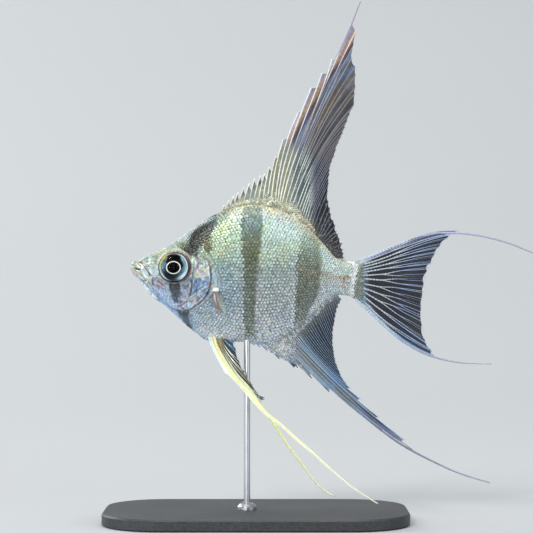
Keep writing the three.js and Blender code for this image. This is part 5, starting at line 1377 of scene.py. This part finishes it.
def build_pelvic(side, name):
    sway = lambda x, z: side * (1.15 + 0.15 * np.maximum(0, 45 - z))
    body = Bag()
    # the long yellow blade, which runs out into the feeler
    top = [(-10.6, 46.2), (-10.25, 44.5), (-8.5, 41.1), (-5.8, 36.8), (-3.0, 33.55), (0.1, 29.9)]
    c = spline(top + FEELER[side], 110)
    d = np.concatenate([[0], np.cumsum(np.hypot(*np.diff(c, axis=0).T))])
    half = np.interp(d, [0, 2, 6, 10.5, 15, 19.5, 22.5, 27, 40, d[-1] + 0.01], [0.48, 0.52, 0.56, 0.62, 0.66, 0.68, 0.52, 0.41, 0.33, 0.15])
    flat = np.interp(d, [0, 10, 22, 45, d[-1] + 0.01], [0.42, 0.36, 0.34, 0.28, 0.13])
    P = np.stack([c[:, 0], sway(c[:, 0], c[:, 1]), c[:, 1]], -1)
    long_ = [(0, (214, 200, 150)), (5, (234, 228, 170)), (12, (236, 236, 178)), (18, (244, 240, 190)), (26, (243, 239, 186)), (40, (244, 240, 198)), (58, (244, 240, 212))]
    # the far fin's ramp, short, is lighter than the near fin's towards the tip: painted light against the shade it lies
    # in behind the body
    short = [(0, (214, 200, 150)), (5, (230, 226, 160)), (12, (228, 232, 168)), (18, (236, 236, 170)), (26, (244, 244, 166)), (40, (250, 248, 190)), (58, (250, 248, 214))]
    tube(body, P, flat, half, ramp(d, long_ if side < 0 else short), sides=14)
    # fine lengthwise ridges: the fused rays of the blade
    T = np.gradient(c, axis=0); T /= np.linalg.norm(T, axis=1)[:, None]
    M = np.stack([-T[:, 1], T[:, 0]], -1)
    for k, tone, end, w in ((-0.84, (240, 240, 208), 60, 0.12), (-0.46, (244, 240, 196), 26, 0.12), (-0.1, (240, 236, 190), 24, 0.12),
                            (0.3, None, 17, 0.24), (0.02, (238, 236, 160), 28, 0.1), (0.62, (226, 232, 178), 30, 0.12), (0.88, (255, 255, 248), 60, 0.15)):
        q = c + M * (half * -k * 0.95)[:, None]
        m = (d < end) & (d < d[-1] - 3)
        for s in (-1, 1):
            Y = sway(q[:, 0], q[:, 1]) + s * flat * math.sqrt(1 - (k * 0.95) ** 2) * 0.93
            fade = np.clip(1 - d[m] / (end + 6), 0.2, 1)
            hue = lin(*tone) if tone else ramp(d[m], [(0, (200, 158, 60)), (3, (222, 200, 96)), (8, (238, 232, 144)), (13, (244, 244, 184))])
            tube(body, np.stack([q[:, 0], Y, q[:, 1]], -1)[m], 0.07 * fade, w * fade, hue, sides=6)
    # the mint strip along the blade's rear edge
    m = (d > 3.5) & (d < 21)
    t = (d[m] - 3.5) / 17.5
    q = (c + M * (half + np.interp(d, [3.5, 8, 14, 21], [0.3, 0.36, 0.24, 0.0]))[:, None])[m]
    tube(body, np.stack([q[:, 0], sway(q[:, 0], q[:, 1]), q[:, 1]], -1), 0.12 + 0 * t, np.interp(t, [0, 0.25, 0.8, 1], [0.14, 0.26, 0.28, 0.06]),
         ramp(t, [(0, (130, 130, 104)), (0.3, (196, 206, 184)), (0.6, (226, 230, 204)), (1, (220, 230, 184))]), sides=8)
    q = (c + M * (half + 0.02)[:, None])[m]
    tube(body, np.stack([q[:, 0], sway(q[:, 0], q[:, 1]), q[:, 1]], -1), 0.17 + 0 * t, np.interp(t, [0, 0.3, 0.7, 1], [0.12, 0.12, 0.09, 0.03]),
         ramp(t, [(0, (64, 66, 40)), (0.3, (120, 134, 98)), (0.6, (176, 194, 150)), (1, (214, 226, 168))]), sides=6)
    # the pale strip between the spine and the blade
    mid = spline([(-11.15, 46.2), (-10.6, 44.4), (-9.1, 41.3), (-7.6, 38.7), (-6.4, 36.6), (-5.0, 34.9)], 24)
    t = np.linspace(0, 1, 24)
    tube(body, np.stack([mid[:, 0], sway(mid[:, 0], mid[:, 1]), mid[:, 1]], -1), 0.3 - 0.1 * t, np.interp(t, [0, 0.3, 0.8, 1], [0.5, 0.56, 0.5, 0.12]),
         ramp(t, [(0, (206, 214, 190)), (0.3, (226, 232, 204)), (0.75, (240, 242, 216)), (1, (238, 238, 190))]), sides=10)
    # the stiff front spine
    sp = spline([(-11.7, 46.2), (-11.1, 44.2), (-9.7, 41.2), (-8.1, 38.3), (-7.2, 36.75)], 18)
    t = np.linspace(0, 1, 18)
    tube(body, np.stack([sp[:, 0], sway(sp[:, 0], sp[:, 1]), sp[:, 1]], -1), 0.38 - 0.16 * t, 0.46 - 0.16 * t,
         ramp(t, [(0, (186, 204, 206)), (0.3, (222, 230, 214)), (0.7, (240, 244, 228)), (1, (246, 250, 246))]), sides=10)
    tube(body, np.stack([sp[:, 0] - 0.32 + 0.1 * t, sway(sp[:, 0], sp[:, 1]) + side * 0.1, sp[:, 1] - 0.1], -1), 0.16 - 0.08 * t, 0.13 - 0.05 * t, lin(164, 200, 222), sides=6)
    body.build(name + "_blade", RIBBON, [("fin_pelvic_left" if side < 0 else "fin_pelvic_right")])
    # the dark web behind it, with pale rays
    bases = np.array([r[0] for r in FAN])
    b, f, g = fin_columns(bases, 6)
    _, _, L = fan_at(b, 1.0)
    tmax = 1 - 0.5 * np.sin(np.pi * f) ** 0.8 / L
    tt = np.linspace(0, 1, 26)[None] * tmax[:, None]
    B = np.broadcast_to(b[:, None], tt.shape)
    x, z, _ = fan_at(B, tt)
    n = streaks(B * 6, tt * L[:, None], 131)
    colour = mix(lin(22, 28, 26), lin(62, 66, 46), n)
    colour = mix(colour, lin(58, 82, 104), 0.7 * step(0.6, 0.85, B))
    web = Bag()
    sheet_solid(web, np.stack([x, sway(x, z), z], -1), np.full(x.shape, 0.13), colour, np.clip(0.97 - 0.22 * step(0.6, 0.9, B), 0, 1))
    tones = [(206, 220, 190), (236, 236, 214), (190, 180, 150), (244, 246, 240), (232, 236, 226), (140, 168, 186), (120, 156, 184)]
    for i, base in enumerate(bases):
        q = np.linspace(0, 1.01, 24)
        for fork in (-1, 1):
            x, z, _ = fan_at(np.clip(base + fork * 0.035 * step(0.3, 1, q), 0, 1), q)
            tube(web, np.stack([x, sway(x, z), z], -1), 0.14 - 0.06 * q, 0.145 - 0.07 * q,
                 mix(lin(206, 196, 150) * np.ones((24, 3)), lin(*tones[i]), step(0.1, 0.5, q)), 1.0)
    # the ragged dark wisp at the end of the web
    for k in range(3):
        w = spline([(0.2, 31.6 - 0.2 * k), (1.0 + 0.1 * k, 31.0 - 0.2 * k), (2.1 - 0.35 * k, 30.6 - 0.1 * k)], 8)
        tube(web, np.stack([w[:, 0], sway(w[:, 0], w[:, 1]), w[:, 1]], -1), 0.07, 0.09, lin(66, 70, 90), 0.95)
    web.build(name + "_web", WEB)


build_pelvic(-1, "pelvic_left")
build_pelvic(1, "pelvic_right")


# ------------------------------------------------------------------ breast fins
def build_pectoral(side, name):
    PX, PZ, FOOT, LONG, SHORT, FIRST, LAST, LAG = -10.5, 57.6, 2.2, 8.6, 4.2, 8, 64, 0.28

    def at(k, t):
        a = np.radians(FIRST + (LAST - FIRST) * k)
        ln = LONG + (SHORT - LONG) * k * k
        out, down = ln * t * np.cos(a), ln * t * np.sin(a)
        back_ = LAG * down + 0.1 * out + 0.9 * t ** 1.6
        return np.stack([PX + 0.6 * k + back_, side * (4.6 + out), PZ - FOOT * k - 0.8 * down], -1)
    web = Bag()
    rays = 13
    cols = 6 * (rays - 1) + 1
    K, T = np.meshgrid(np.linspace(0, 1, cols), np.linspace(0, 1, 14), indexing="ij")
    f = (K * (rays - 1)) % 1.0
    T = T * (1 - 0.05 * np.sin(np.pi * f))
    P = at(K, T)
    P[..., 0] += 0.05 * np.sin(np.pi * f) * T
    colour = mix(lin(150, 128, 118) * np.ones(K.shape + (3,)), lin(150, 160, 156), T)
    sheet_solid(web, P, 0.08 + 0.3 * np.exp(-T * 8), colour, 0.13 + 0.5 * np.exp(-T * 10))
    for i in range(rays):
        k = i / (rays - 1)
        q = np.linspace(0, 1.03, 16)
        for fork in (-1, 1):
            kk = np.clip(k + fork * 0.014 * step(0.4, 1, q), 0, 1)
            tube(web, at(kk, q), 0.11 - 0.055 * q, 0.1 - 0.05 * q,
                 ramp(q, [(0, (150, 128, 118)), (0.2, (168, 170, 164)), (0.7, (186, 196, 186)), (1, (196, 206, 196))]), 0.34 + 0.3 * np.exp(-np.append(np.repeat(q, 6), [0, 1]) * 8), across=(1, 0, 0))
    web.build(name + "_web", WEB, ["fin_pectoral_" + ("left" if side < 0 else "right")])
    # fleshy root: a pale knob, an orange joint and a brown lobe that ends in an orange point
    root = Bag()
    c = spline([(-10.05, 58.35), (-9.95, 57.75), (-10.0, 57.1), (-9.98, 56.3), (-9.8, 55.2), (-9.5, 54.1), (-9.35, 53.1), (-9.32, 52.2)], 30)
    d = np.concatenate([[0], np.cumsum(np.hypot(*np.diff(c, axis=0).T))])
    half = np.interp(d, [0, 0.25, 0.6, 1.0, 1.3, 1.8, 3.0, 4.2, 5.0, 5.5, 6.3], [0.3, 0.75, 0.9, 0.74, 0.66, 0.8, 0.95, 0.88, 0.6, 0.34, 0.1])
    skin_y = np.interp(c[:, 1], [52, 54, 56, 58.5], [4.5, 4.75, 5.0, 5.05])
    P = np.stack([c[:, 0], side * (skin_y + 0.26 + 0.1 * bump(d - 0.6, 0.6)), c[:, 1]], -1)
    tone = ramp(d, [(0, (226, 232, 236)), (0.6, (244, 246, 246)), (0.85, (214, 200, 140)), (1.05, (120, 66, 26)), (1.4, (44, 26, 18)), (1.7, (150, 92, 48)), (1.95, (128, 84, 56)), (2.2, (132, 106, 98)), (2.8, (136, 116, 116)),
                    (3.8, (134, 114, 114)), (4.9, (132, 112, 106)), (5.4, (184, 138, 84)), (6.3, (150, 112, 74))])
    tube(root, P, half * 0.62 + 0.06, half, tone, sides=16)
    # painted highlight: a pale streak down the outer face of the lobe
    tube(root, np.stack([c[6:22, 0] - 0.16, P[6:22, 1] + side * (half[6:22] * 0.62 - 0.02), c[6:22, 1]], -1), 0.08, 0.2, lin(222, 216, 226), sides=6)
    tube(root, np.stack([c[7:21, 0] - half[7:21] * 0.9, P[7:21, 1] + side * 0.02, c[7:21, 1]], -1), 0.12, 0.13, lin(60, 60, 68), sides=6)
    tube(root, np.stack([c[4:8, 0] - 0.45, P[4:8, 1] + side * 0.2, c[4:8, 1]], -1), 0.12, 0.16, lin(214, 206, 120), sides=6)
    return root.build(name + "_root", RIBBON)


build_pectoral(-1, "pectoral_left")
build_pectoral(1, "pectoral_right")


# --------------------------------------------------------------------------- eyes
EYE = material("eye_iris", rough=0.5, metal=0.06, coat=0.0, spec=0.1, grain=0.08, grain_scale=2600, bumps=[("noise", 2600, 0.00003)], coat_rough=0.05)
CORNEA = bpy.data.materials.new("eye_cornea")
CORNEA.use_nodes = True
_p = CORNEA.node_tree.nodes["Principled BSDF"]
_p.inputs["Base Color"].default_value = (1, 1, 1, 1)
_p.inputs["Transmission Weight"].default_value = 1.0
_p.inputs["IOR"].default_value = 1.045
_n = CORNEA.node_tree.nodes.new("ShaderNodeTexNoise")
_n.inputs["Scale"].default_value = 900
_w = CORNEA.node_tree.nodes.new("ShaderNodeTexCoord")
CORNEA.node_tree.links.new(_w.outputs["Object"], _n.inputs["Vector"])
_r = CORNEA.node_tree.nodes.new("ShaderNodeMapRange")
_r.inputs["To Min"].default_value = 0.0
_r.inputs["To Max"].default_value = 0.035
CORNEA.node_tree.links.new(_n.outputs["Fac"], _r.inputs["Value"])
CORNEA.node_tree.links.new(_r.outputs[0], _p.inputs["Roughness"])


def lathe(rs, ys, around, axis_pt, side, tilt):
    """Turns a profile about the eye's axis; rs from the middle out, ys outward."""
    ang = np.linspace(0, 2 * np.pi, around, endpoint=False)
    R, A = np.meshgrid(rs, ang, indexing="ij")
    Y = np.broadcast_to(np.array(ys)[:, None], R.shape)
    X, Z = R * np.cos(A), R * np.sin(A)
    # tilt the disc a little forward and up
    fx, fz = tilt
    Yt = Y - X * fx * 1.0 + Z * -fz
    return np.stack([axis_pt[0] + X - Y * 0 , side * Yt, axis_pt[1] + Z], -1), A, R


def build_eye(side, name, node):
    around = 128
    rs = [0.0, 0.5, 1.0, 1.4, 1.53, 1.6, 1.66, 1.76, 1.84, 1.92, 2.05, 2.25, 2.5, 2.75, 2.95, 3.12, 3.24, 3.34, 3.42, 3.5, 3.56, 3.62, 3.7, 3.7]
    ys = [4.62, 4.6, 4.54, 4.47, 4.46, 4.47, 4.48, 4.48, 4.47, 4.44, 4.42, 4.38, 4.32, 4.25, 4.19, 4.13, 4.09, 4.12, 4.14, 4.1, 4.0, 3.9, 3.7, 2.2]
    fine = np.linspace(1.15, 2.14, 23)
    ys = ys[:3] + list(np.interp(fine, rs[:12], ys[:12])) + ys[11:]
    rs = rs[:3] + list(fine) + rs[11:]
    V, A, R = lathe(rs, ys, around, (EYE_X, EYE_Z + 0.06), side, (-0.12, 0.07))
    ang = np.degrees(A)
    deg = lambda a0, w: bump(((ang - a0 + 180) % 360) - 180, w)
    X, Z = R * np.cos(A), R * np.sin(A)
    P = np.hypot(X + 0.05, (Z + 0.1) / 0.87)
    n = noise(np.cos(A) * 11 + 20, R * 0.9, np.sin(A) * 11 + 20, 141)
    n2 = cloud(X * 1.8 + 20, 1.0, Z * 1.8 + 20, 143)
    c = mix(lin(52, 88, 106), lin(118, 160, 178), np.clip(n * 0.55 + n2 * 0.5, 0, 1))
    c = mix(c, lin(150, 182, 200), 0.5 * bump(R - 2.95, 0.3) * deg(0, 60))
    c = mix(c, lin(176, 200, 208), 0.6 * deg(-42, 20) * step(2.6, 3.0, R))
    # the black bar above and below the pupil
    top = step(1.95, 1.5, np.abs(X - 0.05) - 0.25 * np.maximum(2.4 - Z, 0)) * step(0.7, 1.3, Z)
    top = np.maximum(top, step(2.75, 2.35, R + 0.25 * np.maximum(0.6 - Z, 0)) * step(0.9, 1.5, X) * step(-0.9, 0.2, Z))
    low = step(2.2, 1.5, np.abs(X + 0.45)) * step(-1.0, -1.6, Z)
    c = mix(c, lin(4, 5, 8), 0.99 * top)
    c = mix(c, lin(9, 13, 19), 0.94 * low)
    c = mix(c, lin(70, 110, 130), 0.5 * bump(np.hypot(X - 1.1, Z + 1.7), 0.7))
    # painted highlight: a grey-blue strip along the top of the iris
    c = mix(c, lin(104, 120, 146), 0.7 * bump(R - 3.36, 0.09) * deg(92, 24))
    c = mix(c, lin(26, 38, 54), 0.75 * deg(216, 30) * step(1.9, 2.2, R) * (1 - step(3.0, 3.24, R)))
    c = mix(c, lin(12, 14, 20), 0.6 * bump(P - 2.0, 0.14))
    c = mix(c, lin(140, 128, 76), 0.9 * deg(138, 17) * step(2.45, 2.75, R) * (1 - 0.6 * top))
    # outer ring: gold in front, silver behind and below
    ring = step(3.26, 3.34, R) * (1 - step(3.56, 3.64, R))
    rim = mix(mix(lin(216, 226, 230), lin(198, 182, 96), deg(150, 62)), lin(40, 50, 64), 0.85 * deg(88, 32))
    c = mix(c, rim, ring * (0.95 - 0.85 * deg(-78, 44)))
    c = mix(c, lin(36, 52, 66), 0.6 * deg(-52, 26) * step(1.9, 2.3, R) * (1 - step(2.6, 2.85, R)))
    c = mix(c, lin(150, 150, 140), 0.4 * bump(R - 3.26, 0.06))
    c = mix(c, lin(218, 242, 248), 0.8 * bump(R - 3.05, 0.3) * deg(-46, 24))
    c = mix(c, lin(20, 28, 34), 0.9 * deg(-94, 24) * step(2.9, 3.2, R))
    c = mix(c, lin(44, 26, 18), step(3.56, 3.66, R))
    # the pupil's ring
    c = mix(c, lin(250, 246, 232), step(1.57, 1.63, P) * (1 - step(1.77, 1.85, P)))
    c = mix(c, lin(206, 176, 132), 0.3 * bump(P - 1.85, 0.06))
    c = mix(c, lin(2, 2, 3), 1 - step(1.54, 1.61, P))
    bag = Bag()
    rows = len(rs)
    q = grid_faces(rows, around, wrap=True)
    v = V.reshape(-1, 3)
    backp = np.array([[EYE_X, side * 1.9, EYE_Z]])
    k = np.arange(around)
    last = (rows - 1) * around
    tri = np.stack([last + k, last + (k + 1) % around, np.full(around, rows * around)], -1)
    if side > 0:
        q, tri = q[:, ::-1], tri[:, ::-1]
    bag.add(np.concatenate([v, backp]), q, tri, np.concatenate([c.reshape(-1, 3), [lin(20, 20, 20)]]))
    bag.build(name, EYE, [node])
    # the clear dome over it
    m = 16
    r1 = np.linspace(0, 3.5, m)
    R0 = 5.9
    y1 = 5.05 - (R0 - np.sqrt(R0 ** 2 - r1 ** 2))
    outer, _, _ = lathe(r1, y1, around, (EYE_X, EYE_Z + 0.06), side, (-0.12, 0.07))
    inner, _, _ = lathe(r1 * 0.985, y1 - 0.08, around, (EYE_X, EYE_Z + 0.06), side, (-0.12, 0.07))
    v = np.concatenate([outer.reshape(-1, 3), inner.reshape(-1, 3)])
    qo = grid_faces(m, around, wrap=True)
    qi = grid_faces(m, around, wrap=True)[:, ::-1] + m * around
    k = np.arange(around)
    e = (m - 1) * around
    rim = np.stack([e + k, e + (k + 1) % around, e + m * around + (k + 1) % around, e + m * around + k], -1)
    q = np.concatenate([qo, qi, rim])
    if side > 0:
        q = q[:, ::-1]
    dome = Bag()
    dome.add(v, q, None)
    dome.build(name + "_cornea", CORNEA)


build_eye(-1, "eye_left_globe", "eye_left")
build_eye(1, "eye_right_globe", "eye_right")


# -------------------------------------------------------------------------- stand
def metal_stand():
    base = bpy.data.materials.new("stand_powder_coat")
    base.use_nodes = True
    nt = base.node_tree
    p = nt.nodes["Principled BSDF"]
    where = nt.nodes.new("ShaderNodeTexCoord")
    n = nt.nodes.new("ShaderNodeTexNoise")
    n.inputs["Scale"].default_value = 2200
    n.inputs["Detail"].default_value = 3
    nt.links.new(where.outputs["Object"], n.inputs["Vector"])
    n2 = nt.nodes.new("ShaderNodeTexNoise")
    n2.inputs["Scale"].default_value = 40
    nt.links.new(where.outputs["Object"], n2.inputs["Vector"])
    cr = nt.nodes.new("ShaderNodeValToRGB")
    cr.color_ramp.elements[0].color = (0.018, 0.019, 0.021, 1)
    cr.color_ramp.elements[1].color = (0.045, 0.047, 0.05, 1)
    cr.color_ramp.elements[0].position = 0.35
    cr.color_ramp.elements[1].position = 0.7
    nt.links.new(n.outputs["Fac"], cr.inputs["Fac"])
    nt.links.new(cr.outputs["Color"], p.inputs["Base Color"])
    mr = nt.nodes.new("ShaderNodeMapRange")
    mr.inputs["To Min"].default_value = 0.42
    mr.inputs["To Max"].default_value = 0.6
    nt.links.new(n2.outputs["Fac"], mr.inputs["Value"])
    nt.links.new(mr.outputs[0], p.inputs["Roughness"])
    b = nt.nodes.new("ShaderNodeBump")
    b.inputs["Distance"].default_value = 0.00006
    nt.links.new(n.outputs["Fac"], b.inputs["Height"])
    nt.links.new(b.outputs[0], p.inputs["Normal"])
    rod = bpy.data.materials.new("stand_brushed_steel")
    rod.use_nodes = True
    nt = rod.node_tree
    p = nt.nodes["Principled BSDF"]
    where = nt.nodes.new("ShaderNodeTexCoord")
    mp = nt.nodes.new("ShaderNodeMapping")
    mp.inputs["Scale"].default_value = (1, 1, 14)
    nt.links.new(where.outputs["Object"], mp.inputs["Vector"])
    n = nt.nodes.new("ShaderNodeTexNoise")
    n.inputs["Scale"].default_value = 900
    n.inputs["Detail"].default_value = 4
    nt.links.new(mp.outputs[0], n.inputs["Vector"])
    cr = nt.nodes.new("ShaderNodeValToRGB")
    cr.color_ramp.elements[0].color = (0.42, 0.43, 0.44, 1)
    cr.color_ramp.elements[1].color = (0.66, 0.66, 0.67, 1)
    nt.links.new(n.outputs["Fac"], cr.inputs["Fac"])
    nt.links.new(cr.outputs["Color"], p.inputs["Base Color"])
    p.inputs["Metallic"].default_value = 1.0
    mr = nt.nodes.new("ShaderNodeMapRange")
    mr.inputs["To Min"].default_value = 0.26
    mr.inputs["To Max"].default_value = 0.42
    nt.links.new(n.outputs["Fac"], mr.inputs["Value"])
    nt.links.new(mr.outputs[0], p.inputs["Roughness"])
    for node, m in (("stand_base", base), ("stand_rod", rod)):
        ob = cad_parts[node]
        ob = bpy.data.objects[ob] if isinstance(ob, str) else ob
        ob.data.materials.clear()
        ob.data.materials.append(m)


metal_stand()


# -------------------------------------------------- floor, light and the camera
def build_stage():
    bag = Bag()
    prof = [(-1400, 0), (-500, 0), (0, 0), (250, 0)]
    for k in range(1, 17):
        a = math.radians(90 * k / 16)
        prof.append((250 + 900 * math.sin(a), 900 - 900 * math.cos(a)))
    prof += [(1150, 1500), (1150, 2500)]
    xs = np.linspace(-2600, 2600, 9)
    V = np.array([[[x, y, z] for x in xs] for y, z in prof])
    bag.add(V.reshape(-1, 3), grid_faces(len(prof), len(xs)), None)
    me = bpy.data.meshes.new("studio_floor")
    v = np.concatenate(bag.v) * MM
    me.from_pydata(v.tolist(), [], np.concatenate(bag.q)[:, ::-1].tolist())
    me.polygons.foreach_set("use_smooth", [True] * len(me.polygons))
    m = bpy.data.materials.new("studio_paper")
    m.use_nodes = True
    nt = m.node_tree
    p = nt.nodes["Principled BSDF"]
    n = nt.nodes.new("ShaderNodeTexNoise")
    n.inputs["Scale"].default_value = 9
    cr = nt.nodes.new("ShaderNodeValToRGB")
    cr.color_ramp.elements[0].color = (0.44, 0.45, 0.455, 1)
    cr.color_ramp.elements[1].color = (0.47, 0.48, 0.485, 1)
    nt.links.new(n.outputs["Fac"], cr.inputs["Fac"])
    nt.links.new(cr.outputs["Color"], p.inputs["Base Color"])
    p.inputs["Roughness"].default_value = 0.85
    me.materials.append(m)
    ob = bpy.data.objects.new("studio_floor", me)
    bpy.context.scene.collection.objects.link(ob)


def lamp(name, place, target, size, watts, colour):
    li = bpy.data.lights.new(name, "AREA")
    li.shape = "RECTANGLE"
    li.size, li.size_y = size
    li.energy = watts
    li.color = colour
    ob = bpy.data.objects.new(name, li)
    ob.location = place
    ob.rotation_euler = (Vector(target) - Vector(place)).to_track_quat("-Z", "Y").to_euler()
    bpy.context.scene.collection.objects.link(ob)


build_stage()
lamp("key", (-0.62, -0.95, 1.15), (0.0, 0.0, 0.065), (0.55, 0.4), 13.0, (1.0, 0.975, 0.94))
lamp("low", (-0.45, -0.95, 0.10), (0.0, 0.0, 0.055), (0.5, 0.16), 2.6, (0.86, 0.93, 1.0))
lamp("jaw", (-0.85, -0.28, 0.05), (-0.02, 0.0, 0.06), (0.25, 0.12), 1.5, (0.72, 0.88, 1.0))
lamp("top", (0.10, 0.15, 1.45), (0.0, 0.0, 0.07), (0.8, 0.5), 13.0, (0.95, 0.98, 1.0))
lamp("fill", (1.05, -0.9, 0.45), (0.0, 0.0, 0.06), (0.8, 0.8), 6.0, (0.88, 0.94, 1.0))
lamp("rim", (-0.9, 0.8, 0.7), (0.0, 0.0, 0.07), (0.5, 0.5), 6.0, (0.96, 0.98, 1.0))
world = bpy.data.worlds.new("studio")
world.use_nodes = True
world.node_tree.nodes["Background"].inputs["Color"].default_value = (0.80, 0.84, 0.88, 1)
world.node_tree.nodes["Background"].inputs["Strength"].default_value = 0.38
bpy.context.scene.world = world
bpy.context.scene.view_settings.view_transform = "Standard"

cam = bpy.data.cameras.new("camera")
cam.sensor_width = 36
cam.lens = 36 * VIEW_D / 133.25
cam.clip_start, cam.clip_end = 0.01, 20
cam.dof.use_dof = False
ob = bpy.data.objects.new("camera", cam)
ob.location = (VIEW_X * MM, -VIEW_D * MM, VIEW_Z * MM)
ob.rotation_euler = (math.pi / 2, 0, 0)
bpy.context.scene.collection.objects.link(ob)
bpy.context.scene.camera = ob
